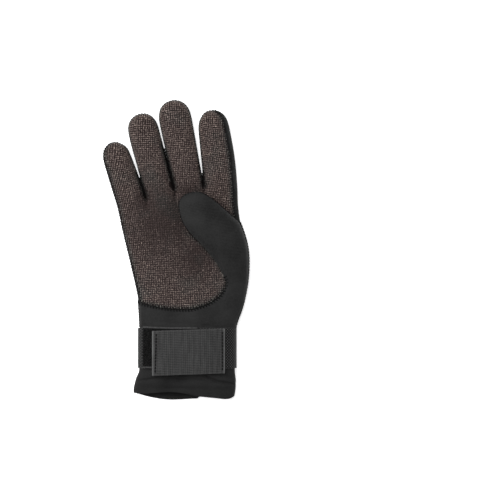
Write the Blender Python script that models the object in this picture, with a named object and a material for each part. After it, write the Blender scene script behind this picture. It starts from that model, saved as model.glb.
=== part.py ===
"""Long cuffed diving glove for a right hand, lying palm up with its thumb folded over the palm.

+Z is up, the fingers point along +Y and the thumb is on the +X side. Units are metres. The glove rests on
z = 0, and the origin is under the middle of its box."""

import math

import bmesh
import bpy
import numpy as np

# Hand
HAND_LENGTH = 0.234
PALM_WIDTH = 0.115
PALM_THICKNESS = 0.025
FINGER_THICKNESS = 0.020
THUMB_THICKNESS = 0.018
THUMB_DENT = 0.005
THUMB_CLEARANCE = 0.0008
NEOPRENE = 0.003

# Wrist, cuff and strap
WRIST_THICKNESS = 0.0225
CUFF_LENGTH = 0.0498
CUFF_THICKNESS = 0.020
CUFF_CREASE = 0.0014
BAND_WIDTH = 0.0380
BAND_THICKNESS = 0.0016
LOOP_LENGTH = 0.052
LOOP_WIDTH = 0.0375
LOOP_THICKNESS = 0.0012
TAB_LENGTH = 0.069
TAB_WIDTH = 0.0425
TAB_THICKNESS = 0.0024
TAB_TILT = math.radians(1.9)

# Joints between pieces. Inside the glove a seam's gap is wider, by INNER_GAPS, because its walls turn.
SEAM_GAP = 0.0003
INNER_GAPS = 3.0
LAYER_GAP = 0.0003

# Sides of the palm, from the wrist joint up. y is a share of HAND_LENGTH, left and right are shares of
# PALM_WIDTH.
PALM_SIDES = np.array([
    # y, left, right
    (0.000, -0.397, 0.387),
    (0.086, -0.397, 0.387),
    (0.142, -0.404, 0.446),
    (0.199, -0.413, 0.471),
    (0.256, -0.438, 0.496),
    (0.341, -0.479, 0.507),
    (0.398, -0.504, 0.504),
    (0.455, -0.535, 0.475),
    (0.505, -0.556, 0.434),
    (0.569, -0.583, 0.416),
    (0.585, -0.593, 0.415),
    (0.638, -0.620, 0.413),
])

# Height of the palm. y is a share of HAND_LENGTH, top and seams are shares of PALM_THICKNESS, and lift is
# how far the glove's back stands off the floor, as a share of the wrist band's room under it. The right seam
# rises to the thumb's mouth, and drops again past it.
PALM_HEIGHTS = np.array([
    # y, top, left seam, lift, right seam
    (0.000, 0.96, 0.46, 1.0, 0.46),
    (0.100, 0.96, 0.46, 1.0, 0.46),
    (0.130, 0.95, 0.42, 0.3, 0.44),
    (0.165, 0.94, 0.38, 0.0, 0.43),
    (0.300, 1.00, 0.36, 0.0, 0.48),
    (0.430, 0.98, 0.35, 0.0, 0.54),
    (0.505, 0.96, 0.35, 0.0, 0.58),
    (0.545, 0.93, 0.35, 0.0, 0.42),
    (0.600, 0.88, 0.34, 0.0, 0.34),
    (0.660, 0.80, 0.34, 0.0, 0.34),
])

# Lower edge of the grip panel, from the little finger's side to its corner at the thumb's seam.
GRIP_HEM = np.array([
    # x as a share of PALM_WIDTH, y as a share of HAND_LENGTH
    (-0.408, 0.182),
    (-0.289, 0.165),
    (-0.160, 0.153),
    (0.030, 0.150),
    (0.172, 0.173),
    (0.280, 0.210),
    (0.328, 0.257),
])

# Seam between the grip panel and the thumb panel, from that corner up to the thumb's mouth.
THUMB_SEAM = np.array([
    # x as a share of PALM_WIDTH, y as a share of HAND_LENGTH
    (0.328, 0.257),
    (0.256, 0.321),
    (0.124, 0.402),
    (0.021, 0.462),
])

# Where the row of the thumb's mouth meets the two sides, and the right end of the grip panel's row.
MOUTH_LEFT_Y = 0.430
MOUTH_RIGHT_Y = 0.505
HEM_RIGHT_Y = 0.268

# Knuckle line: the little finger's outer side, the three crotches and the index finger's outer side.
KNUCKLES = np.array([
    # x as a share of PALM_WIDTH, y as a share of HAND_LENGTH
    (-0.593, 0.585),
    (-0.350, 0.609),
    (-0.114, 0.646),
    (0.131, 0.659),
    (0.413, 0.638),
])

# Fingers, from the little finger to the index. The tip is a share of PALM_WIDTH and of HAND_LENGTH, the rest
# are shares of PALM_WIDTH.
FINGERS = [
    # tip x, tip y, width at the round tip, length of the round tip, bow on the left, bow on the right
    (-0.626, 0.828, 0.230, 0.118, 0.002, 0.006),
    (-0.401, 0.945, 0.248, 0.130, 0.004, 0.000),
    (-0.136, 1.000, 0.264, 0.138, 0.000, 0.003),
    (0.197, 0.961, 0.258, 0.140, 0.001, 0.013),
]

# Steps across a finger's half round, from its left seam (-1) to its right seam (1). The outer fingers have
# two narrow steps at the hand's outer side, where the back's neoprene wraps round to the front.
INNER_STEPS = (-1.0, -0.86, -0.5, 0.0, 0.5, 0.86, 1.0)
LITTLE_STEPS = (-1.0, -0.90, -0.72, -0.38, 0.0, 0.45, 0.85, 1.0)
WRAP_STEPS = 2
THUMB_SEAM_COLUMN = 15

# Rows of the palm between its named lines, as shares of the way, and how much of the finger's round shows.
WRIST_ROWS = (0.0, 0.57, 0.75, 0.88)
SEAM_ROWS = (0.0, 0.25, 0.5, 0.75)
KNUCKLE_ROWS = (0.0, 0.3, 0.58, 0.8, 0.92, 1.0)
KNUCKLE_ROUNDS = (0.0, 0.0, 0.06, 0.28, 0.62, 1.0)
FINGER_ROWS = (0.09, 0.24, 0.42, 0.6, 0.78, 0.92)
FINGER_GIRTH = (1.0, 0.99, 1.0, 0.98, 1.0, 0.99)
TIP_ANGLES = (8.0, 30.0, 50.0, 67.0, 80.0)

# Thumb, from its mouth to its tip. x are shares of PALM_WIDTH, y of HAND_LENGTH, and girth is the share of
# the thumb's thickness.
THUMB_ROWS = np.array([
    # left x, left y, right x, right y, seam share on the left, seam share on the right, girth
    (-0.006, 0.480, 0.388, 0.522, 0.40, 0.55, 1.04),
    (-0.033, 0.500, 0.322, 0.551, 0.80, 0.82, 1.06),
    (-0.056, 0.528, 0.240, 0.587, 0.97, 0.98, 1.04),
    (-0.070, 0.557, 0.164, 0.615, 1.00, 1.00, 0.97),
    (-0.073, 0.579, 0.107, 0.628, 1.00, 1.00, 0.86),
    (-0.066, 0.597, 0.058, 0.631, 1.00, 1.00, 0.66),
])
THUMB_TIP = (-0.026, 0.621)

# Roundness of the cross-sections: 2 is an ellipse, and more is flatter on top with rounder corners.
PALM_ROUND = 3.2
FINGER_ROUND = 2.25
TIP_ROUND = 2.15
CREASE_ROUND = 2.0

# How deep the round back would reach below the floor if it weren't flattened there.
FLAT_UNDER = 0.005

# Where the palm's height eases into the wrist's, as shares of HAND_LENGTH, and over how many columns the
# thumb's weight presses the palm down.
WRIST_EASE_START = 0.10
WRIST_EASE_END = 0.17
DENT_COLUMNS = 5.0

# Cuff: where its section starts to change, where its back reaches the floor and where its front is down to
# the hem's height, as shares of CUFF_LENGTH, and the height of its side as a share of CUFF_THICKNESS.
CUFF_CHANGE = 0.45
CUFF_FLOOR = 0.60
CUFF_LOW = 0.90
CUFF_SEAM = 0.45

# Cuff rows as shares of CUFF_LENGTH from the joint down, and the crease across its front.
CUFF_ROWS = (0.0, 0.43, 0.52, 0.60, 0.66, 0.72, 0.79)
CUFF_CREASES = (0.0, 0.0, 0.15, 1.0, 0.2, -0.5, 0.0)
CUFF_STEPS = 16
# Hem of the cuff's front and back. across runs from the left side (-1) to the right (1), and the others are
# shares of CUFF_LENGTH.
CUFF_HEM = np.array([
    # across, front, back
    (-1.00, 0.870, 0.870),
    (-0.78, 0.895, 0.930),
    (-0.50, 0.885, 0.975),
    (-0.30, 0.865, 0.985),
    (-0.08, 0.880, 0.980),
    (0.20, 0.945, 0.965),
    (0.50, 0.975, 0.970),
    (0.90, 1.000, 0.985),
    (1.00, 0.930, 0.930),
])
# Width of the cuff. y is a share of CUFF_LENGTH below the joint, left and right are shares of PALM_WIDTH.
CUFF_SIDES = np.array([
    # y, left, right
    (0.00, -0.397, 0.387),
    (0.43, -0.397, 0.387),
    (0.60, -0.432, 0.397),
    (0.80, -0.452, 0.396),
    (1.00, -0.450, 0.386),
])

# Places of the strap's pieces: their left ends as shares of PALM_WIDTH from the glove's middle line, the
# band's middle above the wrist joint, the loop patch's above the band's, and the tab's below it.
LOOP_LEFT = -0.372
TAB_LEFT = -0.293
BAND_RAISE = -0.0009
LOOP_RAISE = 0.0005
TAB_DROP = 0.0037

# The tab comes down from the patch to the band between these distances, from the patch's end and its own.
TAB_STEP_START = 0.002
TAB_STEP_END = 0.004
# A strip has no point of the wrist's section nearer to its ends than this.
STRIP_MARGIN = 0.002

# The thumb's mouth: how much its columns bunch towards its two ends, the share of the wall left at those
# ends, where the fold is tight, and how much of the wall each column further in gains.
MOUTH_BUNCH = 0.35
MOUTH_THIN = 0.15
MOUTH_THICKEN = 0.2

# Up to this place across the palm, -1 to 1, the thumb's underside stays level where the palm drops away.
THUMB_LEVEL_PLACE = 0.5

# Cosines of half a corner's turn. A seam's edge that turns more isn't drawn back further at its corner, and a
# strap's section isn't moved out further.
SHARPEST_MITRE = 0.6
SHARPEST_BEND = 0.5
SMOOTH_ANGLE = math.radians(50.0)
TINY = 1e-6

BAND_ROOM = BAND_THICKNESS + LAYER_GAP


def clear_scene():
    for old in list(bpy.data.objects):
        bpy.data.objects.remove(old, do_unlink=True)


def material(name, colour, roughness):
    made = bpy.data.materials.new(name)
    made.use_nodes = True
    shader = made.node_tree.nodes["Principled BSDF"]
    shader.inputs["Base Color"].default_value = (*colour, 1.0)
    shader.inputs["Roughness"].default_value = roughness
    shader.inputs["Metallic"].default_value = 0.0
    made.diffuse_color = (*colour, 1.0)
    return made


def mix(a, b, share):
    return a + (b - a) * share


def unit(way):
    return way / max(TINY ** 2, np.linalg.norm(way))


def ease(share):
    share = min(1.0, max(0.0, share))
    return share * share * (3.0 - 2.0 * share)


def arch(across, roundness):
    """Height, 0 to 1, of a round cross-section at a place across it, -1 to 1."""
    return max(0.0, 1.0 - abs(across) ** roundness) ** (1.0 / roundness)


def column_of(table, column, share):
    return float(np.interp(share, table[:, 0], table[:, column]))


class Surface:
    """Points and four-sided or three-sided faces, each face with the name of its panel."""

    def __init__(self):
        self.points = []
        self.faces = []
        self.panels = []
        self.creases = {}
        self.thinned = {}

    def point(self, x, y, z):
        self.points.append((x, y, z))
        return len(self.points) - 1

    def face(self, panel, *corners):
        self.faces.append(corners)
        self.panels.append(panel)

    def strip(self, panel_of, lower, upper, turned=False):
        """Faces between two rows of points that have the same number of columns."""
        for column in range(len(lower) - 1):
            corners = [lower[column], lower[column + 1], upper[column + 1], upper[column]]
            ring = []
            for corner in corners:
                if corner not in ring:
                    ring.append(corner)
            if len(ring) < 3:
                continue
            if turned:
                ring.reverse()
            self.face(panel_of(column), *ring)


def finger_steps():
    index_steps = tuple(-step for step in reversed(LITTLE_STEPS))
    return [LITTLE_STEPS, INNER_STEPS, INNER_STEPS, index_steps]


def knuckle_points():
    """The knuckle line's points in plan, one for each column, and where each finger starts."""
    points = []
    starts = []
    corners = KNUCKLES * (PALM_WIDTH, HAND_LENGTH)
    for number, steps in enumerate(finger_steps()):
        starts.append(len(points))
        for step in steps[:-1]:
            points.append(mix(corners[number], corners[number + 1], (step + 1.0) / 2.0))
    points.append(corners[-1])
    starts.append(len(points) - 1)
    return np.array(points), starts


def run_shares(points):
    """Each point's share of the length of the line through them."""
    lengths = np.linalg.norm(np.diff(points, axis=0), axis=1)
    return np.concatenate([[0.0], np.cumsum(lengths)]) / lengths.sum()


def even_shares(shares):
    """The same shares with the columns between the two wraps spaced evenly."""
    last = len(shares) - 1
    even = shares.copy()
    inner = np.linspace(shares[WRAP_STEPS], shares[last - WRAP_STEPS], last - 2 * WRAP_STEPS + 1)
    even[WRAP_STEPS:last - WRAP_STEPS + 1] = inner
    return even


def along(line, share):
    """The point at a share of a line's length."""
    shares = run_shares(line)
    return np.array([np.interp(share, shares, line[:, 0]), np.interp(share, shares, line[:, 1])])


def side_point(y_share, column):
    return np.array([column_of(PALM_SIDES, column, y_share) * PALM_WIDTH, y_share * HAND_LENGTH])


def row_through(left, middle, right, shares, bunch):
    """A palm row's points from side to side, through the thumb seam's column. bunch, 0 to 1, draws the
    columns on the thumb's side closer together at both of that stretch's ends."""
    turn = THUMB_SEAM_COLUMN
    points = [mix(left, middle, share / shares[turn]) for share in shares[:turn]]
    last = len(shares) - 1
    for column in range(turn, last + 1):
        plain = (shares[column] - shares[turn]) / (1.0 - shares[turn])
        bunched = (1.0 - math.cos(math.pi * (column - turn) / (last - turn))) / 2.0
        points.append(mix(middle, right, mix(plain, bunched, bunch)))
    return np.array(points)


def palm_plan():
    """Rows of the palm in plan, from the wrist joint to the knuckle line, the numbers of the hem's and the
    mouth's rows, each finger's first column, and the columns' shares of a row."""
    knuckles, starts = knuckle_points()
    shares = even_shares(run_shares(knuckles))
    turn = THUMB_SEAM_COLUMN
    seam = THUMB_SEAM * (PALM_WIDTH, HAND_LENGTH)
    hem_line = GRIP_HEM * (PALM_WIDTH, HAND_LENGTH)

    hem = row_through(hem_line[0], seam[0], side_point(HEM_RIGHT_Y, 2), shares, 0.0)
    for column in range(turn + 1):
        hem[column] = along(hem_line, shares[column] / shares[turn])
    wrist = mix(side_point(0.0, 1), side_point(0.0, 2), shares[:, None])
    mouth_ends = side_point(MOUTH_LEFT_Y, 1), side_point(MOUTH_RIGHT_Y, 2)
    mouth = row_through(mouth_ends[0], seam[-1], mouth_ends[1], shares, MOUTH_BUNCH)

    rows = []
    for share in WRIST_ROWS:
        row = mix(wrist, hem, share)
        straight = mix(0.0, float(hem[:, 1].min()), share)
        follow = ease((share - WRIST_ROWS[1]) / (1.0 - WRIST_ROWS[1]))
        row[:, 1] = mix(straight, row[:, 1], follow)
        rows.append(pulled_to_sides(row))
    hem_row = len(rows)
    for share in SEAM_ROWS:
        row = mix(hem, mouth, share)
        row = pulled(row, turn, along(seam, share))
        rows.append(pulled_to_sides(row) if share > 0.0 else row)
    mouth_row = len(rows)
    for share in KNUCKLE_ROWS:
        row = mix(mouth, knuckles, share)
        rows.append(pulled_to_sides(row) if share < 1.0 else row)
    return rows, hem_row, mouth_row, starts, shares


def pulled(row, column, target):
    """The row with one point moved to its target. The others follow, less so near the row's ends."""
    move = target - row[column]
    last = len(row) - 1
    weights = [i / column if i <= column else (last - i) / (last - column) for i in range(last + 1)]
    return row + np.outer(weights, move)


def pulled_to_sides(row):
    """The row with both ends moved onto the palm's sides, and the points between following."""
    last = len(row) - 1
    ends = []
    for end, side in ((0, 1), (last, 2)):
        share = row[end][1] / HAND_LENGTH
        ends.append(column_of(PALM_SIDES, side, share) * PALM_WIDTH - row[end][0])
    shares = np.arange(last + 1) / last
    row = row.copy()
    row[:, 0] += ends[0] * (1.0 - shares) ** 2 + ends[1] * shares ** 2
    return row


def palm_levels(y, place=-1.0):
    """Top, seam and floor heights of the palm at a place along the hand and across it."""
    share = y / HAND_LENGTH
    top = column_of(PALM_HEIGHTS, 1, share) * PALM_THICKNESS
    left_seam = column_of(PALM_HEIGHTS, 2, share) * PALM_THICKNESS
    right_seam = column_of(PALM_HEIGHTS, 4, share) * PALM_THICKNESS
    seam = mix(left_seam, right_seam, max(0.0, place) ** 2)
    floor = column_of(PALM_HEIGHTS, 3, share) * BAND_ROOM
    wrist_share = 1.0 - ease((share - WRIST_EASE_START) / (WRIST_EASE_END - WRIST_EASE_START))
    top = mix(top, BAND_ROOM + WRIST_THICKNESS, wrist_share)
    return top, seam, floor


def under(across, seam, floor, roundness):
    """Height of the glove's back, flattened where it lies on the floor."""
    depth = seam - floor + FLAT_UNDER
    return max(floor, seam - depth * arch(across, roundness))


def row_places(row):
    """Each point's place across its row, -1 to 1."""
    left, right = row[0][0], row[-1][0]
    return [(2.0 * point[0] - left - right) / (right - left) for point in row]


def finger_place(column, starts):
    """A column's place across its own finger, -1 to 1."""
    for number, steps in enumerate(finger_steps()):
        if starts[number] <= column <= starts[number + 1]:
            return steps[column - starts[number]]
    return 1.0


def thumb_dent(column):
    """How far the thumb's weight presses this column of the palm down, 0 to 1."""
    return ease((column - THUMB_SEAM_COLUMN + DENT_COLUMNS) / DENT_COLUMNS)


def palm_top(place, y, dent=1.0):
    """Height of the palm's top under the thumb."""
    top, seam, floor = palm_levels(y, place)
    return seam + (top - THUMB_DENT * dent - seam) * arch(place, PALM_ROUND)


def build_hand():
    """The whole outer surface of the hand and the thumb, closed but for the wrist's end."""
    surface = Surface()
    rows, hem_row, mouth_row, starts, shares = palm_plan()
    last_row = len(rows) - 1
    last = len(rows[0]) - 1
    turn = THUMB_SEAM_COLUMN
    thumb_top = palm_top(0.0, MOUTH_RIGHT_Y * HAND_LENGTH) + THUMB_CLEARANCE + THUMB_THICKNESS

    tops = []
    bottoms = []
    mouth_upper = None
    for number, row in enumerate(rows):
        places = row_places(row)
        above = number - mouth_row
        rounding = KNUCKLE_ROUNDS[above] if above >= 0 else 0.0
        thenar = 0.0
        if hem_row - 2 <= number <= mouth_row:
            thenar = ease((number - hem_row + 2) / (mouth_row - hem_row + 2.0))
        dented = 1.0 if above >= 0 else ease((number - hem_row) / (mouth_row - hem_row))
        upper = []
        lower = []
        raised = []
        for column, (x, y) in enumerate(row):
            place = places[column]
            top, seam, floor = palm_levels(y, place)
            dent = THUMB_DENT * thumb_dent(column) * dented
            if above < 0 and column > turn:
                dent = 0.0
            palm = seam + (top - dent - seam) * arch(place, PALM_ROUND)
            back = under(place, seam, floor, PALM_ROUND)
            if rounding > 0.0:
                own = finger_place(column, starts)
                finger_top = seam + (FINGER_THICKNESS - seam) * arch(own, FINGER_ROUND)
                palm = mix(palm, finger_top, rounding)
                back = mix(back, under(own, seam, floor, FINGER_ROUND), rounding)
            side = column in (0, last)
            crotch = number == last_row and column in starts
            if side or crotch:
                shared = surface.point(x, y, seam)
                upper.append(shared)
                lower.append(shared)
                raised.append(shared)
                continue
            lower.append(surface.point(x, y, back))
            swell = 0.0
            if column > turn and number <= mouth_row:
                share = (row[column][0] - row[turn][0]) / (row[last][0] - row[turn][0])
                local = 2.0 * share - 1.0
                swell = (thumb_top - palm) * arch(local, FINGER_ROUND) * thenar
            if above == 0 and column > turn:
                upper.append(surface.point(x, y, palm))
                raised.append(surface.point(x, y, palm + swell))
            else:
                upper.append(surface.point(x, y, palm + swell))
                raised.append(upper[-1])
        tops.append(upper)
        bottoms.append(lower)
        if above == 0:
            mouth_upper = raised

    for number in range(last_row):
        panel_of = top_panels(number, hem_row, mouth_row, last)
        upper = mouth_upper if number + 1 == mouth_row else tops[number + 1]
        surface.strip(panel_of, tops[number], upper)
        surface.strip(lambda column: "back_panel", bottoms[number], bottoms[number + 1], turned=True)

    roots = [build_finger(surface, number, tops[-1], bottoms[-1], starts) for number in range(4)]
    for number in range(1, 4):
        crotch = tops[-1][starts[number]]
        sides = (roots[number - 1][-1], roots[number][0])
        ways = [unit(np.subtract(surface.points[side], surface.points[crotch])) for side in sides]
        surface.creases[crotch] = unit(ways[0] + ways[1])
    build_thumb(surface, mouth_upper[turn:], tops[mouth_row][turn:], tops[mouth_row + 1][turn:])
    return surface


def top_panels(number, hem_row, mouth_row, last):
    """Which panel each column of a palm row's top belongs to."""

    def panel_of(column):
        if number < hem_row:
            return "thumb_panel"
        if column < WRAP_STEPS:
            return "back_panel"
        if number < mouth_row:
            return "palm_panel" if column < THUMB_SEAM_COLUMN else "thumb_panel"
        return "back_panel" if column >= last - WRAP_STEPS else "palm_panel"

    return panel_of


def build_finger(surface, number, knuckle_top, knuckle_bottom, starts):
    """One finger's rows and round tip, from the knuckle line on. Returns its first row past that line."""
    steps = finger_steps()[number]
    first, stop = starts[number], starts[number + 1]
    tops = [knuckle_top[first:stop + 1]]
    bottoms = [knuckle_bottom[first:stop + 1]]
    tip_x, tip_y, width, tip_length, bow_left, bow_right = FINGERS[number]
    left = np.array(surface.points[tops[0][0]][:2])
    right = np.array(surface.points[tops[0][-1]][:2])
    tip = np.array([tip_x * PALM_WIDTH, tip_y * HAND_LENGTH])
    axis = tip - (left + right) / 2.0
    axis /= np.linalg.norm(axis)
    aside = np.array([axis[1], -axis[0]])
    half = width * PALM_WIDTH / 2.0
    round_length = tip_length * PALM_WIDTH
    centre = tip - axis * round_length
    seam = palm_levels(HAND_LENGTH)[1]

    def add_row(row_left, row_right, girth):
        upper = []
        lower = []
        for step in steps:
            x, y = mix(row_left, row_right, (step + 1.0) / 2.0)
            if abs(step) == 1.0:
                shared = surface.point(x, y, seam)
                upper.append(shared)
                lower.append(shared)
                continue
            rise = arch(step, FINGER_ROUND) * girth
            upper.append(surface.point(x, y, seam + (FINGER_THICKNESS - seam) * rise))
            depth = seam + FLAT_UNDER
            lower.append(surface.point(x, y, max(0.0, seam - depth * rise)))
        tops.append(upper)
        bottoms.append(lower)

    for share, girth in zip(FINGER_ROWS, FINGER_GIRTH):
        swell = math.sin(math.pi * share) * PALM_WIDTH
        row_left = mix(left, centre - aside * half, share) - aside * bow_left * swell
        row_right = mix(right, centre + aside * half, share) + aside * bow_right * swell
        add_row(row_left, row_right, girth)
    for degrees in TIP_ANGLES:
        angle = math.radians(degrees)
        middle = centre + axis * round_length * math.sin(angle) ** (2.0 / TIP_ROUND)
        narrow = math.cos(angle) ** (2.0 / TIP_ROUND)
        add_row(middle - aside * half * narrow, middle + aside * half * narrow, narrow)

    outer = {0: (0, WRAP_STEPS), 3: (len(steps) - 1 - WRAP_STEPS, len(steps))}
    low, high = outer.get(number, (0, 0))

    def panel_of(column):
        return "back_panel" if low <= column < high else "palm_panel"

    for row in range(len(tops) - 1):
        surface.strip(panel_of, tops[row], tops[row + 1])
        surface.strip(lambda column: "back_panel", bottoms[row], bottoms[row + 1], turned=True)
    pole = surface.point(tip[0], tip[1], seam)
    for column in range(len(steps) - 1):
        surface.face(panel_of(column), tops[-1][column], tops[-1][column + 1], pole)
        surface.face("back_panel", bottoms[-1][column + 1], bottoms[-1][column], pole)
    return tops[1]


def build_thumb(surface, upper_mouth, lower_mouth, palm_row):
    """The thumb folded over the palm: its back on top and its grip underneath. At the crease where the grip
    turns back under the thumb, the outward direction is along the fold's opening."""
    tops = [list(upper_mouth)]
    bottoms = [list(lower_mouth)]
    last = len(upper_mouth) - 1
    left_z = surface.points[upper_mouth[0]][2]
    right_z = surface.points[upper_mouth[-1]][2]
    rest = palm_top(0.0, MOUTH_RIGHT_Y * HAND_LENGTH) + THUMB_CLEARANCE
    middle_z = rest + THUMB_THICKNESS / 2.0

    for left_x, left_y, right_x, right_y, left_share, right_share, girth in THUMB_ROWS:
        left = np.array([left_x * PALM_WIDTH, left_y * HAND_LENGTH])
        right = np.array([right_x * PALM_WIDTH, right_y * HAND_LENGTH])
        upper = []
        lower = []
        for column in range(last + 1):
            share = (1.0 - math.cos(math.pi * column / last)) / 2.0
            x, y = mix(left, right, share)
            ends = mix(mix(left_z, middle_z, left_share), mix(right_z, middle_z, right_share), share)
            if column in (0, last):
                shared = surface.point(x, y, ends)
                upper.append(shared)
                lower.append(shared)
                continue
            rise = arch(2.0 * share - 1.0, FINGER_ROUND)
            side = side_point(y / HAND_LENGTH, 2)[0]
            other = side_point(y / HAND_LENGTH, 1)[0]
            place = (2.0 * x - side - other) / (side - other)
            floor = palm_top(place, y) + THUMB_CLEARANCE
            if place < THUMB_LEVEL_PLACE:
                floor = max(floor, rest)
            floor = mix(middle_z, floor, min(1.0, girth))
            upper.append(surface.point(x, y, ends + (rest + THUMB_THICKNESS * girth - ends) * rise))
            lower.append(surface.point(x, y, ends - (ends - floor) * rise))
        tops.append(upper)
        bottoms.append(lower)
    for row in range(len(tops) - 1):
        surface.strip(lambda column: "thumb_panel", tops[row], tops[row + 1])
        surface.strip(lambda column: "thumb_grip", bottoms[row], bottoms[row + 1], turned=True)
    for column in range(last + 1):
        near_end = min(column, last - column)
        for corner in (tops[0][column], bottoms[0][column], bottoms[1][column]):
            surface.thinned[corner] = min(1.0, MOUTH_THIN + near_end * MOUTH_THICKEN)
    for column in range(1, last):
        corner = np.array(surface.points[bottoms[0][column]])
        ways = [unit(np.array(surface.points[line[column]]) - corner) for line in (bottoms[1], palm_row)]
        surface.creases[bottoms[0][column]] = unit(ways[0] + ways[1])
    pole = surface.point(THUMB_TIP[0] * PALM_WIDTH, THUMB_TIP[1] * HAND_LENGTH, middle_z)
    for column in range(last):
        surface.face("thumb_panel", tops[-1][column], tops[-1][column + 1], pole)
        surface.face("thumb_grip", bottoms[-1][column + 1], bottoms[-1][column], pole)


def normals_of(points, faces):
    """Each point's outward direction, weighted by the faces' areas."""
    normals = np.zeros_like(points)
    for face in faces:
        corners = points[list(face)]
        area = np.zeros(3)
        for number in range(1, len(face) - 1):
            area += np.cross(corners[number] - corners[0], corners[number + 1] - corners[0])
        size = np.linalg.norm(area)
        if size > 0.0:
            for corner in face:
                normals[corner] += area / size
    lengths = np.linalg.norm(normals, axis=1)
    return normals / np.maximum(lengths, TINY ** 2)[:, None]


def boundary_edges(faces):
    """The edges that only one face uses, in that face's order."""
    used = {}
    for face in faces:
        for number, start in enumerate(face):
            end = face[(number + 1) % len(face)]
            used[(start, end)] = True
    return [edge for edge in used if (edge[1], edge[0]) not in used]


def panel_mesh(points, normals, faces, walls, free_y):
    """One panel as a closed body: its outer faces, the same faces a wall further in, and a rim between
    them. Its edges are drawn back by half the seam's gap, but stay on the plane free_y at the cuff."""
    outer = points.copy()
    inner = points - normals * walls
    edges = boundary_edges(faces)
    following = dict(edges)
    preceding = {end: start for start, end in edges}
    for corner, after in following.items():
        here, before = points[corner], points[preceding[corner]]
        ways = [unit(here - before), unit(points[after] - here)]
        along_rim = unit(ways[0] + ways[1])
        inward = np.cross(normals[corner], along_rim)
        turning = along_rim.dot(ways[0])
        reach = SEAM_GAP / 2.0 / (turning if turning > SHARPEST_MITRE else 1.0)
        inward = unit(inward) * reach
        if abs(here[1] - free_y) < TINY:
            inward[1] = 0.0
        outer[corner] += inward
        inner[corner] += inward * INNER_GAPS
    used = sorted({corner for face in faces for corner in face})
    place = {corner: number for number, corner in enumerate(used)}
    count = len(used)
    body = [tuple(outer[corner]) for corner in used] + [tuple(inner[corner]) for corner in used]
    shell = [tuple(place[corner] for corner in face) for face in faces]
    shell += [tuple(place[corner] + count for corner in reversed(face)) for face in faces]
    for start, end in edges:
        a, b = place[start], place[end]
        # Both panels at a seam split its rim the same way, so that a twisted rim leaves an even gap.
        if start < end:
            shell += [(b, a, b + count), (a, a + count, b + count)]
        else:
            shell += [(b, a, a + count), (b, a + count, b + count)]
    return body, shell


def add_object(name, points, faces, finish):
    mesh = bpy.data.meshes.new(name)
    mesh.from_pydata(points, [], faces)
    mesh.materials.append(finish)
    made = bpy.data.objects.new(name, mesh)
    bpy.context.scene.collection.objects.link(made)
    shape = bmesh.new()
    shape.from_mesh(mesh)
    bmesh.ops.triangulate(shape, faces=shape.faces[:], quad_method="SHORT_EDGE")
    shape.to_mesh(mesh)
    shape.free()
    mesh.shade_smooth()
    mesh.set_sharp_from_angle(angle=SMOOTH_ANGLE)
    return made


def wrist_ring(left, right, top, seam, floor, steps, roundness=PALM_ROUND):
    """A closed cross-section in x and z: over the top from left to right, then back underneath."""
    places = [-math.cos(math.pi * step / steps) for step in range(steps + 1)]
    middle, half = (left + right) / 2.0, (right - left) / 2.0
    ring = [(middle + half * place, seam + (top - seam) * arch(place, roundness)) for place in places]
    for place in reversed(places[1:-1]):
        ring.append((middle + half * place, under(place, seam, floor, roundness)))
    return np.array(ring)


def offset_line(line, distance, closed):
    """The line moved out to its left-hand side by a distance, its straight stretches kept parallel."""
    count = len(line)
    moved = []
    for number in range(count):
        before = line[number] - line[number - 1] if closed or number else None
        after = line[(number + 1) % count] - line[number] if closed or number < count - 1 else None
        before = after if before is None else before
        after = before if after is None else after
        sides = [np.array([-way[1], way[0]]) / np.linalg.norm(way) for way in (before, after)]
        middle = sides[0] + sides[1]
        middle /= np.linalg.norm(middle)
        moved.append(line[number] + middle * distance / max(SHARPEST_BEND, middle.dot(sides[0])))
    return np.array(moved)


def wrist_line():
    """The wrist's cross-section at its joint, which the band and all that lies on it follow."""
    top, seam, floor = palm_levels(0.0)
    left = PALM_SIDES[0][1] * PALM_WIDTH
    right = PALM_SIDES[0][2] * PALM_WIDTH
    return wrist_ring(left, right, top, seam, floor, CUFF_STEPS * 2)


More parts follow.
